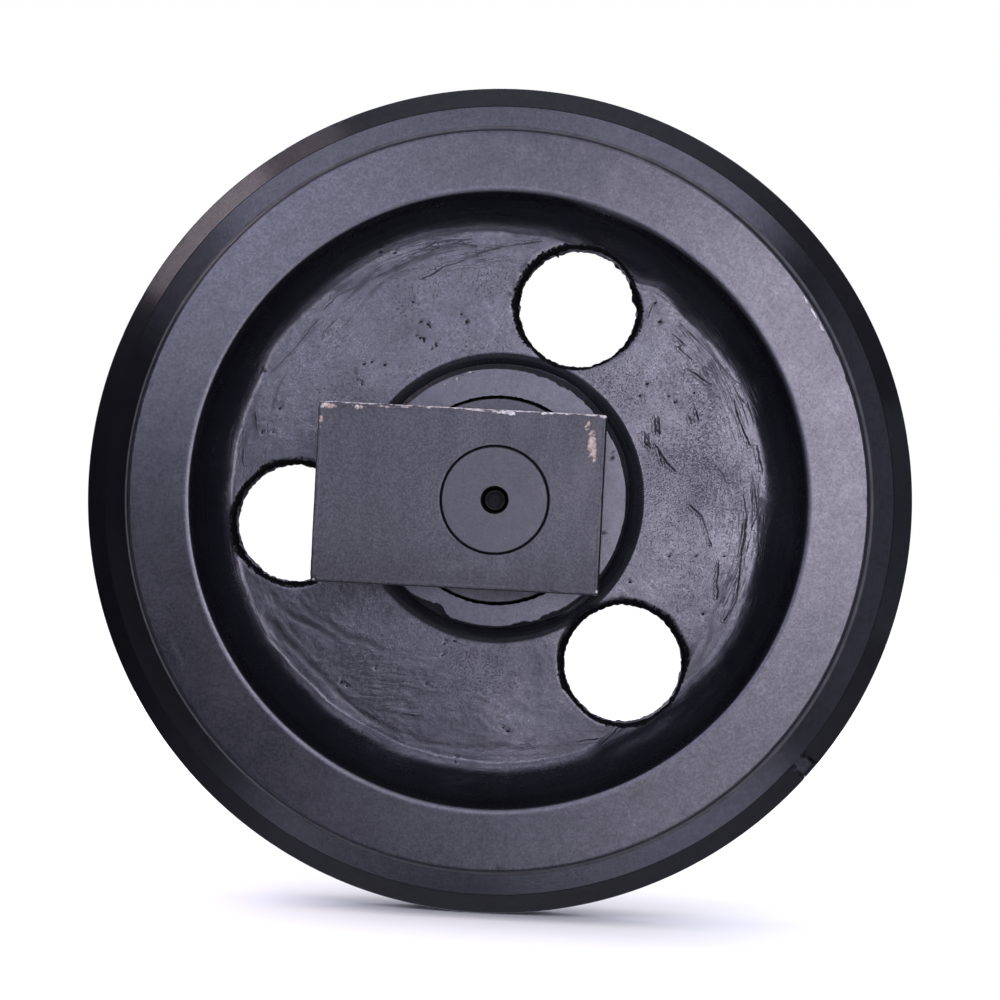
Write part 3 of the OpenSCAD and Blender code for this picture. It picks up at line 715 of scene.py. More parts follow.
def build_block(name, side):
    """One slide block: bore, face with worn edges, sides, back with the collar's seat.
    Rows of points run from the bore over the face and round to the back, then home."""
    rim = block_outline(0.0, 0.9, N_B)
    n = len(rim)
    ang = np.arctan2(rim[:, 1], rim[:, 0])
    circle = lambda r: np.stack([r * np.cos(ang), r * np.sin(ang)], 1)
    rows = []          # (xz, depth, s) with s = 1 on the outline

    def ring(xz, a):
        rows.append(np.column_stack([xz, np.full(len(xz), a)]))

    for a in (63.1, 63.6, 75.0, 86.6, 87.2):
        ring(circle(22.52), a)
    for r, a in ((22.60, 87.55), (22.70, 87.80), (22.82, 87.95)):
        ring(circle(r), a)
    face_in, face_out = circle(22.95), block_outline(EDGE, 0.9, N_B)
    c_end = block_outline(4.5, 0.9 + 4.5, N_B)
    for t in (0.0, 0.02, 0.1, 0.2, 0.3, 0.4, 0.5, 0.6, 0.7, 0.8, 0.9):
        ring(face_in * (1 - t) + c_end * t, 88.0)
    for i in (4.5, 4.0, 3.5, 3.0, 2.6, 2.2, 1.8, 1.5, 1.2, 0.95, 0.75, 0.62):
        ring(block_outline(i, 0.9 + i, N_B), 88.0)
    for k in range(0, 6):
        t = math.radians(90.0 * k / 5)
        ring(block_outline(EDGE * (1 - math.sin(t)), 0.9 + EDGE * (1 - math.sin(t)), N_B), 88.0 - EDGE * (1 - math.cos(t)))
    for a in (87.3, 87.05, 86.7, 86.3, 85.8, 85.2, 84.5, 83.5, 81.5, 79, 76, 73, 70, 67, 64, 61, 58.5, 56.5, 55.3, 54.6, 54.1, 53.8):
        ring(rim, a)
    for k in range(0, 6):
        t = math.radians(90.0 * k / 5)
        ring(block_outline(EDGE * (1 - math.cos(t)), 0.9 + EDGE * (1 - math.cos(t)), N_B), 53.0 + EDGE * (1 - math.sin(t)))
    for i in (0.62, 0.8, 1.2, 1.8, 2.6, 3.5, 4.5):
        ring(block_outline(i, 0.9 + i, N_B), 53.0)
    seat = circle(32.3)
    for t in (0.2, 0.4, 0.6, 0.8, 0.97, 1.0):
        ring(c_end * (1 - t) + seat * t, 53.0)
    ring(circle(32.02), 53.28)
    for a in (53.6, 58, 62.5, 63.1):
        ring(circle(32.02), a)
    for r in (31.5, 28, 23.2):
        ring(circle(r), 63.1)
    P = np.concatenate(rows)
    m = len(rows)
    x, z, a = P.T
    sgn = -1 if side == 0 else 1

    # distance in from each face of the outer box
    dx = np.minimum(x - BX0, BX1 - x)
    dz = BH - np.abs(z)
    df = B_OUT - a
    db = a - B_IN
    d3 = np.sort(np.stack([dx, dz, df, db], 1), axis=1)
    outer = (d3[:, 0] < 0.75)
    e = np.where(outer, np.hypot(np.maximum(d3[:, 0], 0), d3[:, 1]), 9.0)       # distance from the nearest edge
    q = stack(x, a, z + 400 * side)
    wear = fbm(q / 9, 2, 201) + 0.55 * fbm(q / 2.6, 2, 202)
    depth = np.clip(wear - 0.30, 0, 1.0) * 0.9 * np.exp(-(e / 1.3) ** 2)
    depth += 0.10 * np.clip(0.5 + fbm(q / 1.9, 2, 203), 0, 1.2) * np.exp(-(e / 0.7) ** 2)
    corner = np.exp(-((d3[:, 0] ** 2 + d3[:, 1] ** 2 + d3[:, 2] ** 2) / 3.0)) * outer
    depth += corner * (0.35 + 0.5 * np.clip(noise(q / 5, 204) + 0.3, 0, 1))
    # push inwards along the faces that meet at the edge
    gx = np.where(dx < 3, np.sign(x - (BX0 + BX1) / 2), 0) * np.exp(-dx / 1.2)
    gz = np.where(dz < 3, np.sign(z), 0) * np.exp(-dz / 1.2)
    ga = np.where(df < 3, np.exp(-np.maximum(df, 0) / 1.2), 0) - np.where(db < 3, np.exp(-np.maximum(db, 0) / 1.2), 0)
    g = np.stack([gx, gz, ga], 1)
    g /= np.linalg.norm(g, axis=1)[:, None] + 1e-9
    P = P - g * (depth * outer)[:, None]
    # the sawn faces aren't perfectly flat: slow waves of a few hundredths, always inwards
    slow = 0.05 * (0.8 + fbm(q / 30, 2, 205))
    on_face = outer & (e > 1.5)
    n1 = np.argmin(np.stack([dx, dz, df, db], 1), axis=1)
    for ax, (col, sg) in enumerate(((0, np.sign(x - (BX0 + BX1) / 2)), (1, np.sign(z)), (2, np.ones(len(x))), (2, -np.ones(len(x))))):
        s = on_face & (n1 == ax)
        P[s, col] -= (sg * np.clip(slow, 0, 0.12))[s]
    verts = stack(P[:, 0], sgn * P[:, 2], P[:, 1])
    faces = ring_faces(m, n)
    ob = new_object(name, verts, faces if side == 0 else faces[:, ::-1])
    return ob


def rod(name, p0, p1, r0, r1, n=96):
    """Plain round cutter from p0 to p1."""
    p0, p1 = Vector(p0), Vector(p1)
    d = (p1 - p0).normalized()
    s = d.orthogonal().normalized()
    t = d.cross(s)
    v = []
    for c, r in ((p0, r0), (p1, r1)):
        for i in range(n):
            a = 2 * math.pi * i / n
            v.append(c + s * (r * math.cos(a)) + t * (r * math.sin(a)))
    v += [p0, p1]
    f = []
    for i in range(n):
        j = (i + 1) % n
        f += [(i, j, n + j), (i, n + j, n + i), (j, i, 2 * n), (n + i, n + j, 2 * n + 1)]
    return new_object(name, [tuple(q) for q in v], f)


blocks = []
for side, name in ((0, "block_front"), (1, "block_rear")):
    sg = -1 if side == 0 else 1
    ob = build_block(name, side)
    cuts = [rod("c_pin", (19.5, sg * 77, -45), (19.5, sg * 77, 45), 5.02, 5.02)]
    for zz in (-21, 21):
        cuts.append(rod("c_bolt", (-76, sg * 70.5, zz), (-45, sg * 70.5, zz), 6, 6))
    cut_away(ob, cuts)
    blocks.append(ob)


def mark_block(ob, side):
    me = ob.data
    p = point_array(me)
    x, y, z = p.T
    a = np.abs(y)
    dx = np.minimum(x - BX0, BX1 - x)
    dz = BH - np.abs(z)
    df, db = B_OUT - a, a - B_IN
    d3 = np.sort(np.stack([dx, dz, df, db], 1), axis=1)
    e = np.hypot(np.maximum(d3[:, 0], 0), d3[:, 1])
    q = stack(x, a, z + 400 * side)
    rub = np.exp(-(e / 1.1) ** 2) * np.clip(0.45 + 0.9 * fbm(q / 8, 2, 210), 0, 1) * 0.45
    tan = np.zeros(len(p))
    chip = np.zeros(len(p))
    smear = np.zeros(len(p))
    if side == 0:
        near = (y < -84)
        top = np.exp(-((BH - z) / 0.60) ** 2) * near
        chip = np.maximum(chip, top * (0.84 + 0.34 * fbm(q / 6, 2, 211)))
        for u, v, l, w, d, g in ((326, 403.5, 3.0, 1.0, 0, 0.72), (322, 406, 1.4, 1.2, 0, 0.66), (357, 406, 2.6, 1.1, -3, 0.70), (382, 406, 2.2, 0.5, -3, 0.7),
                                 (405, 407, 3.2, 0.5, -3, 0.8), (426, 407.5, 2.4, 0.5, -3, 0.8), (474, 409.6, 8.0, 0.6, -3, 0.95),
                                 (497, 411.5, 2.8, 0.9, -3, 0.85), (507, 412.3, 4.8, 1.05, -3, 0.95), (512, 413.6, 2.4, 1.2, -3, 0.9), (544, 413.4, 2.0, 0.9, -3, 0.9),
                                 (551, 413.5, 2.4, 0.5, -3, 0.85), (568, 414.2, 2.0, 0.45, -3, 0.85), (590, 415.4, 4.2, 0.5, -3, 0.9), (603, 416.8, 2.0, 0.9, -3, 0.95),
                                 (313.5, 579.5, 0.8, 0.8, 0, 0.9), (596.5, 591.5, 0.8, 0.9, 0, 0.9), (343.5, 483, 0.5, 0.55, 0, 1.1)):
            chip = np.maximum(chip, g * streak(x, z, u, v, l, w, d, 88) * near)
        for u, v, l, w, d, g in ((321, 419, 2.0, 1.2, 75, 0.75), (320.5, 426, 1.1, 0.7, 80, 0.6), (588, 426, 2.8, 1.0, 78, 0.85), (592, 441, 6.0, 1.5, 86, 1.1),
                                 (593.5, 453, 4.8, 1.3, 88, 1.05), (330, 406, 3.0, 1.2, 0, 0.85), (324, 404, 2.0, 1.2, 0, 0.75), (359, 407.0, 2.4, 1.0, 0, 0.8), (385, 406.5, 5.0, 0.6, -3, 0.6)):
            tan = np.maximum(tan, g * streak(x, z, u, v, l, w, d, 88) * near)
        for u, v, l, w, d, g in ((455, 566, 10, 2.2, 8, 0.7), (478, 560, 5, 2.5, -40, 0.5), (500, 568, 2.0, 4.5, 0, 0.6), (585, 470, 4.0, 12, 0, 0.5),
                                 (560, 500, 9, 18, 0, 0.25), (590, 540, 4, 9, 0, 0.3), (440, 585, 26, 2.0, -3, 0.35), (490, 450, 3, 5, 20, 0.25)):
            smear += g * streak(x, z, u, v, l, w, d, 88) * near
    # painted shade along the face's right and lower edges, strongest at the right
    low = ((BX1 - x < 0.75) | (z + BH < 0.75)) & (df < 0.75) & (chip < 0.4)
    set_attribute(me, "dark", np.where(low, np.where(BX1 - x < 0.75, 0.85, 0.22), 0.0))
    rub = np.where(low, 0.6 * rub, rub)
    set_attribute(me, "chip", np.clip(np.maximum(chip, rub), 0, 1.2))
    set_attribute(me, "tan", np.clip(tan, 0, 1.2))
    set_attribute(me, "scuff", np.clip(smear, 0, 1))


for side, ob in enumerate(blocks):
    mark_block(ob, side)
    finish_mesh(ob, 32)


# ------------------------------------------------------------------ materials
class Nodes:
    """Small helper that adds and links shader nodes."""

    def __init__(self, name):
        self.mat = bpy.data.materials.new(name)
        self.mat.use_nodes = True
        self.t = self.mat.node_tree
        self.t.nodes.clear()
        self.out = self.t.nodes.new("ShaderNodeOutputMaterial")
        self.bsdf = self.t.nodes.new("ShaderNodeBsdfPrincipled")
        self.t.links.new(self.bsdf.outputs[0], self.out.inputs[0])
        self.coord = self.t.nodes.new("ShaderNodeTexCoord").outputs["Object"]

    def put(self, socket, value):
        if isinstance(value, bpy.types.NodeSocket):
            self.t.links.new(value, socket)
        else:
            socket.default_value = value

    def noise(self, scale, detail=2.0, rough=0.5, vec=None, stretch=None, distortion=0.0):
        n = self.t.nodes.new("ShaderNodeTexNoise")
        v = vec or self.coord
        if stretch:
            m = self.t.nodes.new("ShaderNodeMapping")
            m.inputs["Scale"].default_value = stretch
            self.put(m.inputs["Vector"], v)
            v = m.outputs[0]
        self.put(n.inputs["Vector"], v)
        n.inputs["Scale"].default_value = scale
        n.inputs["Detail"].default_value = detail
        n.inputs["Roughness"].default_value = rough
        n.inputs["Distortion"].default_value = distortion
        return n.outputs[0]

    def attr(self, name):
        n = self.t.nodes.new("ShaderNodeAttribute")
        n.attribute_name = name
        return n.outputs["Fac"]

    def math(self, op, a, b=None, c=None, clamp=False):
        n = self.t.nodes.new("ShaderNodeMath")
        n.operation = op
        n.use_clamp = clamp
        for i, v in enumerate((a, b, c)):
            if v is not None:
                self.put(n.inputs[i], v)
        return n.outputs[0]

    def range(self, v, a, b, c, d):
        n = self.t.nodes.new("ShaderNodeMapRange")
        self.put(n.inputs["Value"], v)
        for k, w in (("From Min", a), ("From Max", b), ("To Min", c), ("To Max", d)):
            n.inputs[k].default_value = w
        return n.outputs[0]

    def ramp(self, v, stops):
        n = self.t.nodes.new("ShaderNodeValToRGB")
        self.put(n.inputs[0], v)
        e = n.color_ramp.elements
        while len(e) < len(stops):
            e.new(0.5)
        for el, (pos, col) in zip(e, stops):
            el.position = pos
            el.color = (*col, 1.0) if len(col) == 3 else col
        return n.outputs[0]

    def mix(self, fac, a, b):
        n = self.t.nodes.new("ShaderNodeMix")
        n.data_type = "RGBA"
        self.put(n.inputs[0], fac)
        for s, v in ((n.inputs[6], a), (n.inputs[7], b)):
            self.put(s, (*v, 1.0) if isinstance(v, tuple) else v)
        return n.outputs[2]

    def bump(self, height, distance, normal=None, strength=1.0):
        n = self.t.nodes.new("ShaderNodeBump")
        n.inputs["Strength"].default_value = strength
        n.inputs["Distance"].default_value = distance
        self.put(n.inputs["Height"], height)
        if normal is not None:
            self.put(n.inputs["Normal"], normal)
        return n.outputs[0]

    def radius(self):
        """Distance from the axle's axis, in metres."""
        m = self.t.nodes.new("ShaderNodeVectorMath")
        m.operation = "MULTIPLY"
        m.inputs[1].default_value = (1, 0, 1)
        self.put(m.inputs[0], self.coord)
        v = self.t.nodes.new("ShaderNodeVectorMath")
        v.operation = "LENGTH"
        self.put(v.inputs[0], m.outputs[0])
        return v.outputs["Value"]

    def polar(self, per_r, per_t):
        """Radius and angle round the axle as a vector, for marks that run round the wheel."""
        sp = self.t.nodes.new("ShaderNodeSeparateXYZ")
        self.put(sp.inputs[0], self.coord)
        c = self.t.nodes.new("ShaderNodeCombineXYZ")
        self.put(c.inputs[0], self.math("MULTIPLY", self.radius(), per_r))
        self.put(c.inputs[1], self.math("MULTIPLY", self.math("ARCTAN2", sp.outputs["Z"], sp.outputs["X"]), per_t))
        self.put(c.inputs[2], self.math("MULTIPLY", sp.outputs["Y"], 60.0))
        return c.outputs[0]

    def noise1(self, w, detail=2.0):
        n = self.t.nodes.new("ShaderNodeTexNoise")
        n.noise_dimensions = "1D"
        self.put(n.inputs["W"], w)
        n.inputs["Scale"].default_value = 1.0
        n.inputs["Detail"].default_value = detail
        return n.outputs[0]

    def set(self, **kw):
        for k, v in kw.items():
            self.put(self.bsdf.inputs[k.replace("_", " ")], v)


DARK, DARKER = (0.0062, 0.0062, 0.0088), (0.0034, 0.0035, 0.0052)


def wheel_paint():
    k = Nodes("black_paint_on_casting")
    cast, scuff, chip, wall = k.attr("cast"), k.attr("scuff"), k.attr("chip"), k.attr("wall")
    dark, speck, flow = k.attr("dark"), k.attr("speck"), k.attr("flow")
    big = k.noise(24, 4, 0.6)
    mid = k.noise(140, 3, 0.6)
    fine = k.noise(900, 2, 0.6)
    dust = k.noise(2600, 1, 0.5)
    grain = k.noise(1250, 2, 0.7)
    r = k.radius()
    turned = k.math("SUBTRACT", 1.0, cast)
    base = k.ramp(big, ((0.30, DARKER), (0.72, DARK)))
    inner = k.range(r, 0.1602, 0.1616, 1.0, 0.0)
    base = k.mix(k.math("MULTIPLY", k.range(grain, 0.40, 0.72, 0.0, 0.18), k.math("MULTIPLY", turned, inner)), base, (0.055, 0.054, 0.062))
    base = k.mix(k.range(r, 0.1602, 0.1616, 0.0, 0.62), base, (0.0006, 0.0006, 0.0008))
    base = k.mix(k.range(dust, 0.64, 0.80, 0.0, 0.05), base, (0.07, 0.07, 0.08))
    scuffed = k.math("MULTIPLY", scuff, k.range(mid, 0.35, 0.70, 0.2, 1.0), clamp=True)
    base = k.mix(k.math("MULTIPLY", scuffed, 0.35), base, (0.12, 0.118, 0.13))
    # painted highlight: a pale line along the flange's root, standing in for the fillet's highlight
    root_highlight = k.math("MULTIPLY", k.range(r, 0.16045, 0.16110, 0.0, 1.0), k.range(r, 0.16205, 0.16255, 1.0, 0.0))
    root_highlight = k.math("MULTIPLY", root_highlight, k.range(mid, 0.30, 0.70, 0.55, 1.0))
    base = k.mix(root_highlight, base, (0.070, 0.066, 0.074))
    chipped = k.range(k.math("ADD", chip, k.range(fine, 0.2, 0.8, -0.28, 0.28)), 0.50, 0.60, 0.0, 1.0)
    base = k.mix(chipped, base, k.mix(k.range(mid, 0.38, 0.66, 0.0, 1.0), (0.17, 0.15, 0.15), (0.36, 0.345, 0.35)))
    # burnt, ragged lips of the holes, black both as burnt edge and as painted shade where they round into the hole
    rag = k.math("ADD", k.range(fine, 0.25, 0.75, -0.34, 0.34), k.range(k.noise(330, 2, 0.6), 0.3, 0.7, -0.22, 0.22))
    burnt_and_gap_shade = k.range(k.math("ADD", wall, rag), 0.02, 0.16, 0.0, 1.0)
    # painted shade: the gap at the seal turns black and dull
    seal_gap_shade = k.range(k.math("ADD", r, k.range(k.noise(620, 2, 0.6), 0.3, 0.7, -0.0003, 0.0003)), 0.04455, 0.04485, 1.0, 0.0)
    burnt_and_gap_shade = k.math("MAXIMUM", burnt_and_gap_shade, seal_gap_shade)
    base = k.mix(burnt_and_gap_shade, base, (0.0022, 0.0022, 0.0026))
    # treads and flange land: thin dust, drawn round by the turning marks
    land = k.attr("land")
    across = k.t.nodes.new("ShaderNodeSeparateXYZ")
    k.put(across.inputs[0], k.coord)
    ring = k.noise1(k.math("MULTIPLY", across.outputs["Y"], 1100.0), 3)
    film = k.math("MULTIPLY", k.range(ring, 0.30, 0.70, 0.55, 1.0), k.range(mid, 0.30, 0.70, 0.75, 1.0))
    base = k.mix(k.math("MULTIPLY", land, k.math("MULTIPLY", film, k.math("SUBTRACT", 1.0, chipped)), clamp=True), base, (0.034, 0.033, 0.038))
    rough = k.range(big, 0.3, 0.7, 0.18, 0.23)
    # the flange's sides are smoother than the rim
    rough = k.math("MULTIPLY", rough, k.range(r, 0.1605, 0.1620, 1.0, 0.72))
    rough = k.math("ADD", rough, k.math("MULTIPLY", scuffed, 0.16))
    rough = k.math("ADD", rough, k.math("MULTIPLY", burnt_and_gap_shade, 0.45))
    rough = k.math("ADD", rough, k.math("MULTIPLY", land, k.range(ring, 0.30, 0.70, 0.20, 0.12)))
    rough = k.math("ADD", rough, k.math("MULTIPLY", root_highlight, 0.35), clamp=True)
    # fine dark grit in the skin
    pin = k.noise(1500, 3, 0.70)
    spot = k.range(k.math("ADD", pin, k.range(speck, 0.0, 1.0, -0.12, 0.01)), 0.47, 0.70, 0.0, 1.0)
    spot = k.math("MULTIPLY", spot, cast, clamp=True)
    # pits, and thin slits and lines left by the melt
    pits = k.range(k.math("ADD", k.attr("pit"), k.range(fine, 0.25, 0.75, -0.13, 0.13)), 0.44, 0.60, 0.0, 1.0)
    off = k.math("ADD", k.math("MULTIPLY", k.attr("vein"), 1.6), k.range(k.noise(520, 3, 0.65), 0.25, 0.75, -0.30, 0.30))
    vein = k.range(k.math("ABSOLUTE", off), 0.10, 0.52, 1.0, 0.0)
    vein = k.math("MULTIPLY", vein, k.attr("vein_strength"), clamp=True)
    way = k.polar(330.0, 2.6)
    wisp = k.math("ABSOLUTE", k.math("SUBTRACT", k.noise(1.0, 3, 0.64, vec=way, distortion=0.5), 0.5))
    wisp = k.math("MULTIPLY", k.range(wisp, 0.0, 0.034, 1.0, 0.0), k.range(k.noise(62, 2, 0.6), 0.42, 0.60, 0.0, 1.0), clamp=True)
    wisp = k.math("MULTIPLY", wisp, flow, clamp=True)
    cracks = k.math("MAXIMUM", pits, k.math("MAXIMUM", vein, wisp), clamp=True)
    ripple = k.math("MULTIPLY", k.noise(80, 2, 0.55, stretch=(1.0, 1.0, 5.5)), k.attr("ripple"))
    # painted shade: the reflection is cut down in the folds, pits, slits and flow lines, on the boss's ledge and at the
    # rim wall's foot; the dark grit dims it too
    shade = k.math("MAXIMUM", dark, k.math("MAXIMUM", k.math("MULTIPLY", spot, 0.48), k.math("MULTIPLY", cracks, 0.92)), clamp=True)
    rough = k.math("ADD", rough, k.math("MULTIPLY", shade, 0.32), clamp=True)
    level = k.range(shade, 0.0, 1.0, 0.5, 0.06)
    level = k.math("MULTIPLY", level, k.range(mid, 0.25, 0.75, 0.90, 1.10))
    cloud = k.range(k.noise(58, 4, 0.62), 0.30, 0.70, 0.88, 1.28)
    level = k.math("MULTIPLY", level, k.math("ADD", turned, k.math("MULTIPLY", cloud, cast)))
    fleck = k.range(k.noise(1700, 2, 0.6), 0.57, 0.68, 1.0, 1.65)
    level = k.math("MULTIPLY", level, k.math("ADD", turned, k.math("MULTIPLY", fleck, cast)))
    level = k.math("MULTIPLY", level, k.range(k.noise(480, 3, 0.65), 0.30, 0.70, 0.88, 1.12))
    level = k.math("MULTIPLY", level, k.range(grain, 0.30, 0.70, 0.80, 1.20))
    level = k.math("MULTIPLY", level, k.range(burnt_and_gap_shade, 0.0, 1.0, 1.0, 0.10))
    # turned faces: faint tool lines under the paint; cast skin: soft sags and sand marks
    lines = k.noise1(k.math("MULTIPLY", r, 1500.0), 3)
    skin = k.math("ADD", k.math("MULTIPLY", k.noise(150, 3, 0.55, distortion=0.4), 0.5), k.math("MULTIPLY", k.noise(520, 3, 0.65), 0.22))
    n = k.bump(k.math("MULTIPLY", skin, cast), 0.00016)
    n = k.bump(k.math("MULTIPLY", k.math("ADD", k.math("MULTIPLY", spot, 0.5), cracks), -1.0), 0.00006, n)
    n = k.bump(ripple, 0.00022, n)
    n = k.bump(k.math("MULTIPLY", lines, turned), 0.0000030, n)
    n = k.bump(k.noise(1500, 2, 0.6), 0.000016, n)
    n = k.bump(k.math("MULTIPLY", k.math("ADD", chipped, burnt_and_gap_shade), -1.0), 0.00012, n)
    k.set(Base_Color=base, Roughness=rough, Normal=n)
    k.put(k.bsdf.inputs["Specular IOR Level"], level)
    return k.mat


def block_paint():
    k = Nodes("black_paint_on_bar")
    chip, tan, scuff = k.attr("chip"), k.attr("tan"), k.attr("scuff")
    big = k.noise(22, 4, 0.6)
    mid = k.noise(170, 3, 0.6)
    blot = k.noise(420, 3, 0.65)
    fine = k.noise(850, 3, 0.68)
    grain = k.noise(1100, 2, 0.7)
    drag = k.noise(180, 3, 0.6, stretch=(1.0, 1.0, 0.14))
    dust = k.noise(2400, 1, 0.5)
    base = k.ramp(big, ((0.30, (0.0050, 0.0051, 0.0072)), (0.72, (0.0088, 0.0088, 0.0115))))
    base = k.mix(k.range(grain, 0.40, 0.74, 0.0, 0.34), base, (0.062, 0.060, 0.070))
    base = k.mix(k.range(blot, 0.46, 0.72, 0.0, 0.20), base, (0.055, 0.055, 0.060))
    base = k.mix(k.range(dust, 0.64, 0.80, 0.0, 0.10), base, (0.12, 0.12, 0.13))
    smear = k.math("MULTIPLY", scuff, k.range(mid, 0.35, 0.70, 0.3, 1.0), clamp=True)
    base = k.mix(k.math("MULTIPLY", smear, 0.28), base, (0.13, 0.126, 0.135))
    tanned = k.range(k.math("ADD", tan, k.range(fine, 0.2, 0.8, -0.38, 0.38)), 0.34, 0.66, 0.0, 1.0)
    base = k.mix(tanned, base, k.mix(k.range(blot, 0.36, 0.62, 0.0, 1.0), (0.170, 0.122, 0.100), (0.33, 0.265, 0.232)))
    chipped = k.range(k.math("ADD", chip, k.range(fine, 0.2, 0.8, -0.36, 0.36)), 0.50, 0.64, 0.0, 1.0)
    base = k.mix(chipped, base, k.mix(k.range(blot, 0.36, 0.60, 0.0, 1.0), (0.17, 0.145, 0.13), (0.42, 0.40, 0.41)))
    # painted shade: the seam round the axle's end and the face's lower and right edges turn dark and dull
    r = k.radius()
    seam_and_edge_shade = k.math("MAXIMUM", k.attr("dark"), k.range(r, 0.02275, 0.02295, 1.0, 0.0))
    base = k.mix(seam_and_edge_shade, base, (0.0020, 0.0020, 0.0024))
    rough = k.range(big, 0.3, 0.7, 0.32, 0.40)
    rough = k.math("ADD", rough, k.math("MULTIPLY", seam_and_edge_shade, 0.35))
    level = k.math("MULTIPLY", k.range(grain, 0.30, 0.70, 0.33, 0.47), k.range(blot, 0.30, 0.70, 0.86, 1.14))
    level = k.math("MULTIPLY", level, k.range(seam_and_edge_shade, 0.0, 1.0, 1.0, 0.10))
    # painted shade: the face turns darker and duller towards its lower edge
    place = k.t.nodes.new("ShaderNodeSeparateXYZ")
    k.put(place.inputs[0], k.coord)
    level = k.math("MULTIPLY", level, k.range(place.outputs["Z"], -0.0375, -0.016, 0.76, 1.0))
    base = k.mix(k.range(place.outputs["Z"], -0.0375, -0.016, 0.35, 0.0), base, (0.0040, 0.0040, 0.0056))
    k.put(k.bsdf.inputs["Specular IOR Level"], level)
    rough = k.math("ADD", rough, k.range(drag, 0.3, 0.7, -0.03, 0.05))
    rough = k.math("ADD", rough, k.range(blot, 0.3, 0.7, -0.05, 0.06))
    rough = k.math("ADD", rough, k.math("MULTIPLY", k.math("MAXIMUM", chipped, tanned), 0.15), clamp=True)
    n = k.bump(drag, 0.000030)
    n = k.bump(k.noise(1300, 2, 0.55), 0.000030, n)
    n = k.bump(k.math("MULTIPLY", k.math("MAXIMUM", chipped, tanned), -1.0), 0.00010, n)
    k.set(Base_Color=base, Roughness=rough, Normal=n)
    return k.mat


def turned_paint(name, lift=1.0, black_from=None, black_to=None, rag_by=0.0004):
    """Black paint on a turned ring or bar end; painted shade, black and dull, beyond one radius or within another
    (metres).
    """
    k = Nodes(name)
    big = k.noise(40, 4, 0.6)
    dust = k.noise(2400, 1, 0.5)
    grain = k.noise(1500, 2, 0.7)
    blot = k.noise(420, 3, 0.65)
    base = k.ramp(big, ((0.30, tuple(c * lift for c in (0.0046, 0.0047, 0.0066))), (0.72, tuple(c * lift for c in (0.0080, 0.0080, 0.0105)))))
    base = k.mix(k.range(grain, 0.40, 0.74, 0.0, 0.22), base, (0.060, 0.059, 0.068))
    base = k.mix(k.range(dust, 0.64, 0.80, 0.0, 0.10), base, (0.11, 0.11, 0.12))
    rough = k.range(big, 0.3, 0.7, 0.28, 0.36)
    rough = k.math("ADD", rough, k.range(blot, 0.3, 0.7, -0.04, 0.05))
    level = k.range(grain, 0.30, 0.70, 0.41, 0.49)
    r = k.radius()
    if black_from or black_to:
        rag = k.math("ADD", r, k.range(k.noise(620, 2, 0.6), 0.3, 0.7, -rag_by, rag_by))
        gap_shade = k.range(rag, black_from, black_from + 0.0002, 0.0, 1.0)
        if black_to:
            gap_shade = k.math("MAXIMUM", gap_shade, k.range(r, black_to, black_to + 0.0001, 1.0, 0.0))
        base = k.mix(gap_shade, base, (0.0022, 0.0023, 0.0024))
        rough = k.math("ADD", rough, k.math("MULTIPLY", gap_shade, 0.40), clamp=True)
        level = k.math("MULTIPLY", level, k.range(gap_shade, 0.0, 1.0, 1.0, 0.12))
    lines = k.noise1(k.math("MULTIPLY", r, 1900.0), 3)
    n = k.bump(lines, 0.000006)
    n = k.bump(k.noise(1300, 2, 0.55), 0.00002, n)
    k.set(Base_Color=base, Roughness=rough, Normal=n)
    k.put(k.bsdf.inputs["Specular IOR Level"], level)
    return k.mat


def bare_metal(name, col_a, col_b, rough_a, rough_b, lines=2200.0):
    k = Nodes(name)
    big = k.noise(60, 4, 0.6)
    base = k.ramp(big, ((0.3, col_a), (0.7, col_b)))
    marks = k.noise1(k.math("MULTIPLY", k.radius(), lines), 3)
    n = k.bump(marks, 0.000006)
    n = k.bump(k.noise(1600, 2, 0.6), 0.00001, n)
    k.set(Base_Color=base, Roughness=k.range(marks, 0.3, 0.7, rough_a, rough_b), Normal=n)
    k.bsdf.inputs["Metallic"].default_value = 1.0
    return k.mat


def soft_rubber():
    k = Nodes("black_rubber")
    big = k.noise(90, 3, 0.6)
    base = k.ramp(big, ((0.3, (0.014, 0.014, 0.014)), (0.7, (0.026, 0.026, 0.027))))
    n = k.bump(k.noise(1800, 2, 0.6), 0.00002)
    k.set(Base_Color=base, Roughness=k.range(big, 0.3, 0.7, 0.5, 0.65), Normal=n)
    return k.mat


M = {
    "wheel": wheel_paint(),
    "block": block_paint(),
    # painted shade at the collar's edge by the hub's gap, and on the axle at the seam with the block and inside the
    # centre hole
    "collar": turned_paint("black_paint_on_collar", 1.0, black_from=0.0431, rag_by=0.0003),
    "axle": turned_paint("black_paint_on_axle", 1.0, black_from=0.0221, black_to=0.00580, rag_by=0.0001),
    "bronze": bare_metal("turned_bronze", (0.42, 0.25, 0.09), (0.58, 0.38, 0.16), 0.28, 0.42),
    "seal": bare_metal("lapped_iron", (0.34, 0.34, 0.35), (0.48, 0.48, 0.49), 0.18, 0.30, 3200.0),
    "pin": bare_metal("oiled_pin_steel", (0.10, 0.10, 0.105), (0.18, 0.175, 0.17), 0.32, 0.48),
    # the plug's near-black colour is painted shade for its place deep in the centre hole
    "plug": bare_metal("dark_plug_steel_in_painted_shade", (0.006, 0.006, 0.0063), (0.016, 0.0155, 0.015), 0.42, 0.56),
    "rubber": soft_rubber(),
}

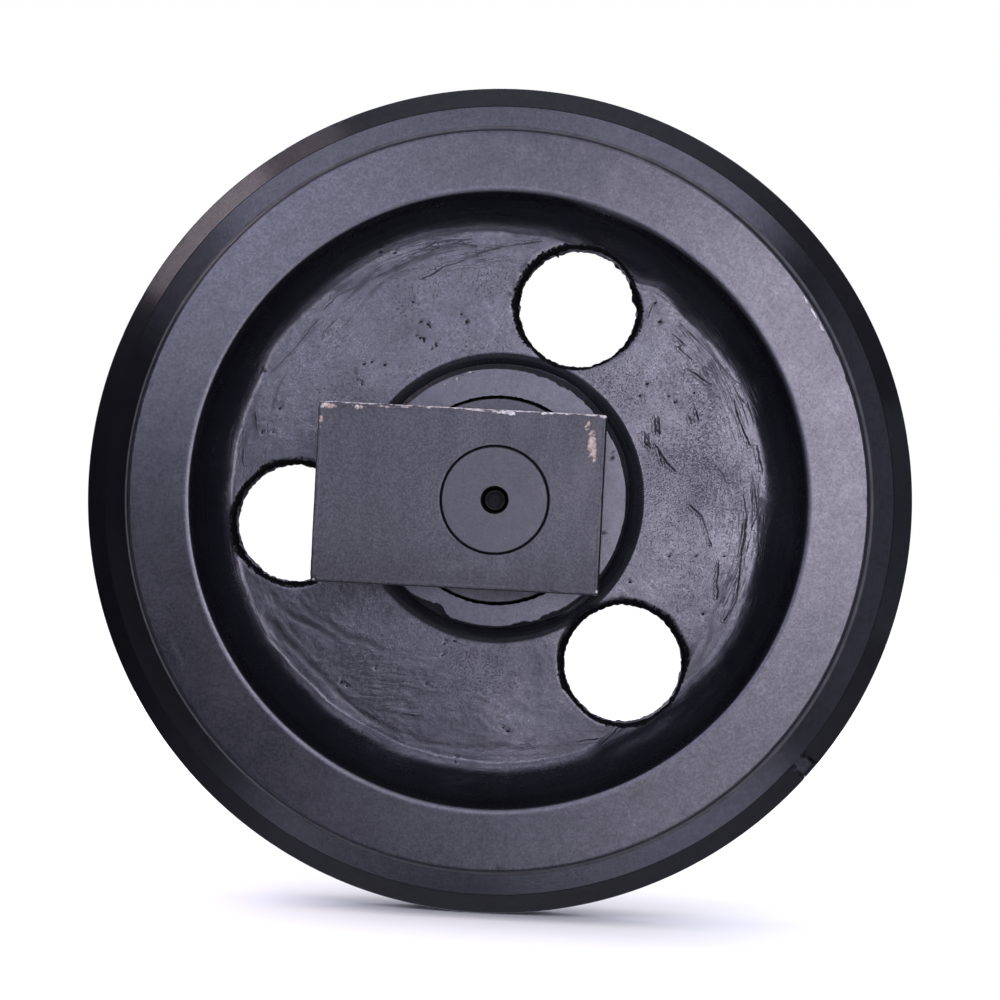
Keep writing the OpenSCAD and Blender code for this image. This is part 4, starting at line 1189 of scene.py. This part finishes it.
for name, ob in nodes.items():
    key = ("axle" if name == "axle" else "collar" if name.startswith("seal_collar") else "bronze" if name.startswith("bush")
           else "seal" if "seal_ring" in name else "rubber" if ("toric" in name or "o_ring" in name)
           else "pin" if name.startswith("lock_pin") else "plug" if name == "oil_plug"
           else "wheel" if name == "idler_wheel" else "block")
    if not ob.material_slots:
        ob.data.materials.append(None)
    for s in ob.material_slots:
        s.material = M[key]

wheel.data.materials.clear()
wheel.data.materials.append(M["wheel"])
for b in blocks:
    b.data.materials.clear()
    b.data.materials.append(M["block"])

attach(wheel, "wheel")
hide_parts("idler_wheel")
for b, s in zip(blocks, ("front", "rear")):
    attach(b, "carrier")
    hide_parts("slide_block_" + s)


# ------------------------------------------------------------------ light and floor
def panel(name, place, aim, size, radiance, colour):
    """Soft light box of even radiance that faces aim."""
    d = bpy.data.lights.new(name, "AREA")
    d.shape = "RECTANGLE"
    d.size, d.size_y = size
    d.energy = radiance * math.pi * size[0] * size[1]
    d.color = colour
    o = bpy.data.objects.new(name, d)
    scene.collection.objects.link(o)
    o.location = place
    o.rotation_mode = "QUATERNION"
    o.rotation_quaternion = (Vector(aim) - Vector(place)).to_track_quat("-Z", "Y")
    o.visible_camera = False
    return o


COOL, BLUE, ROSE = (0.97, 0.91, 1.16), (0.93, 0.92, 1.30), (1.10, 0.92, 1.04)
# A bank of boxes around the camera's place: brightest at its right, dark at its lower left.
# Each row: left, right, bottom, top (mm, in the plane of the bank), radiance, colour.
BANK = [
    ("key", 80, 485, -74, 70, 9.3, COOL),
    ("key_high", 93, 485, 70, 320, 9.3, COOL),
    ("low_right", 75, 485, -430, -74, 4.0, COOL),
    ("middle", -133, 80, -140, 70, 4.2, BLUE),
    ("middle_high", -135, 93, 70, 140, 4.2, BLUE),
    ("high_inner", -135, 93, 140, 260, 4.9, BLUE),
    ("high_outer", -135, 95, 260, 480, 1.2, BLUE),
    ("high_left", -455, -135, 70, 480, 5.1, BLUE),
    ("low_middle", -125, 75, -480, -140, 1.5, BLUE),
    ("low_left", -505, -125, -520, 70, 0.06, BLUE),
    ("ceiling", -850, 660, 640, 1120, 3.2, BLUE),
    ("ceiling_right", 180, 480, 1120, 1240, 3.2, BLUE),
    ("corner_high", -970, -520, 400, 640, 1.2, BLUE),
    ("apron_right", 15, 815, -1050, -640, 2.0, BLUE),
    ("apron_left", -685, 15, -1050, -640, 1.15, BLUE),
    ("wing", 830, 1230, -640, 760, 0.58, BLUE),
]
for turn, gain in ((1, 1.0), (-1, 0.9)):
    side = "front" if turn == 1 else "rear"
    for name, x0, x1, z0, z1, rad, col in BANK:
        x, z = (x0 + x1) / 2 * MM, (z0 + z1) / 2 * MM
        place = (turn * x, -turn * 1.54, z)
        panel(name + "_" + side, place, (turn * x, 0, z), ((x1 - x0) * MM, (z1 - z0) * MM), rad * gain, col)
# small rosy boxes high at the left side, one behind the other, seen only in the flange's bevel
panel("side_high", (-1.209, -0.12, 1.070), (0, 0, 0), (0.40, 0.40), 3.3, ROSE)
panel("side_high_mid", (-1.236, -0.12, 1.038), (0, 0, 0), (0.66, 0.66), 1.6, ROSE)
panel("side_high_wide", (-1.121, -0.12, 1.161), (0, 0, 0), (1.05, 1.05), 0.7, ROSE)
panel("side_right", (1.60, -0.12, 0.0), (0, 0, 0), (0.80, 1.00), 0.17, BLUE)

sun = bpy.data.lights.new("sky_panel", "SUN")
sun.energy = 3.5
sun.angle = 2.6
sun_ob = bpy.data.objects.new("sky_panel", sun)
scene.collection.objects.link(sun_ob)
sun_ob.visible_glossy = False

floor_me = bpy.data.meshes.new("floor")
s = 14.0
floor_me.from_pydata([(-s, -s, -0.1803), (s, -s, -0.1803), (s, s, -0.1803), (-s, s, -0.1803)], [], [(0, 1, 2, 3)])
floor = bpy.data.objects.new("floor", floor_me)
scene.collection.objects.link(floor)
fl = Nodes("pale_floor")
fl.set(Base_Color=fl.ramp(fl.noise(3, 2, 0.5), ((0.3, (0.80, 0.80, 0.80)), (0.7, (0.82, 0.82, 0.82)))), Roughness=0.9)
fl.bsdf.inputs["Specular IOR Level"].default_value = 0.0
floor_me.materials.append(fl.mat)
floor.visible_glossy = False
floor.visible_shadow = False

world = bpy.data.worlds.new("studio")
scene.world = world
world.use_nodes = True
wt = world.node_tree
wt.nodes.clear()
w_out = wt.nodes.new("ShaderNodeOutputWorld")
mixer = wt.nodes.new("ShaderNodeMixShader")
path = wt.nodes.new("ShaderNodeLightPath")
white = wt.nodes.new("ShaderNodeBackground")
white.inputs[0].default_value = (1, 1, 1, 1)
white.inputs[1].default_value = 1.0
room = wt.nodes.new("ShaderNodeBackground")
tc = wt.nodes.new("ShaderNodeTexCoord")
sep = wt.nodes.new("ShaderNodeSeparateXYZ")
wt.links.new(tc.outputs["Generated"], sep.inputs[0])
rmp = wt.nodes.new("ShaderNodeValToRGB")
half = wt.nodes.new("ShaderNodeMapRange")
wt.links.new(sep.outputs["Z"], half.inputs["Value"])
half.inputs["From Min"].default_value = -1.0
half.inputs["From Max"].default_value = 1.0
wt.links.new(half.outputs[0], rmp.inputs[0])
stops = ((0.0, 0.36), (0.30, 0.20), (0.50, 0.05), (0.85, 0.18), (1.0, 0.56))
for i, (pos, v) in enumerate(stops):
    el = rmp.color_ramp.elements[i] if i < 2 else rmp.color_ramp.elements.new(pos)
    el.position = pos
    el.color = (0.92 * v, 0.92 * v, 1.16 * v, 1)
wt.links.new(rmp.outputs[0], room.inputs[0])
# the room is darker towards the lower left
lean = wt.nodes.new("ShaderNodeMath")
lean.operation = "MULTIPLY_ADD"
wt.links.new(sep.outputs["Z"], lean.inputs[0])
lean.inputs[1].default_value = 0.35
wt.links.new(sep.outputs["X"], lean.inputs[2])
dim = wt.nodes.new("ShaderNodeMapRange")
wt.links.new(lean.outputs[0], dim.inputs["Value"])
for key, v in (("From Min", -1.05), ("From Max", -0.80), ("To Min", 0.10), ("To Max", 1.0)):
    dim.inputs[key].default_value = v
wt.links.new(dim.outputs[0], room.inputs[1])
wt.links.new(path.outputs["Is Camera Ray"], mixer.inputs[0])
wt.links.new(room.outputs[0], mixer.inputs[1])
wt.links.new(white.outputs[0], mixer.inputs[2])
wt.links.new(mixer.outputs[0], w_out.inputs[0])

scene.view_settings.view_transform = "Standard"
scene.view_settings.look = "None"
scene.view_settings.exposure = 0.0
scene.view_settings.gamma = 1.0
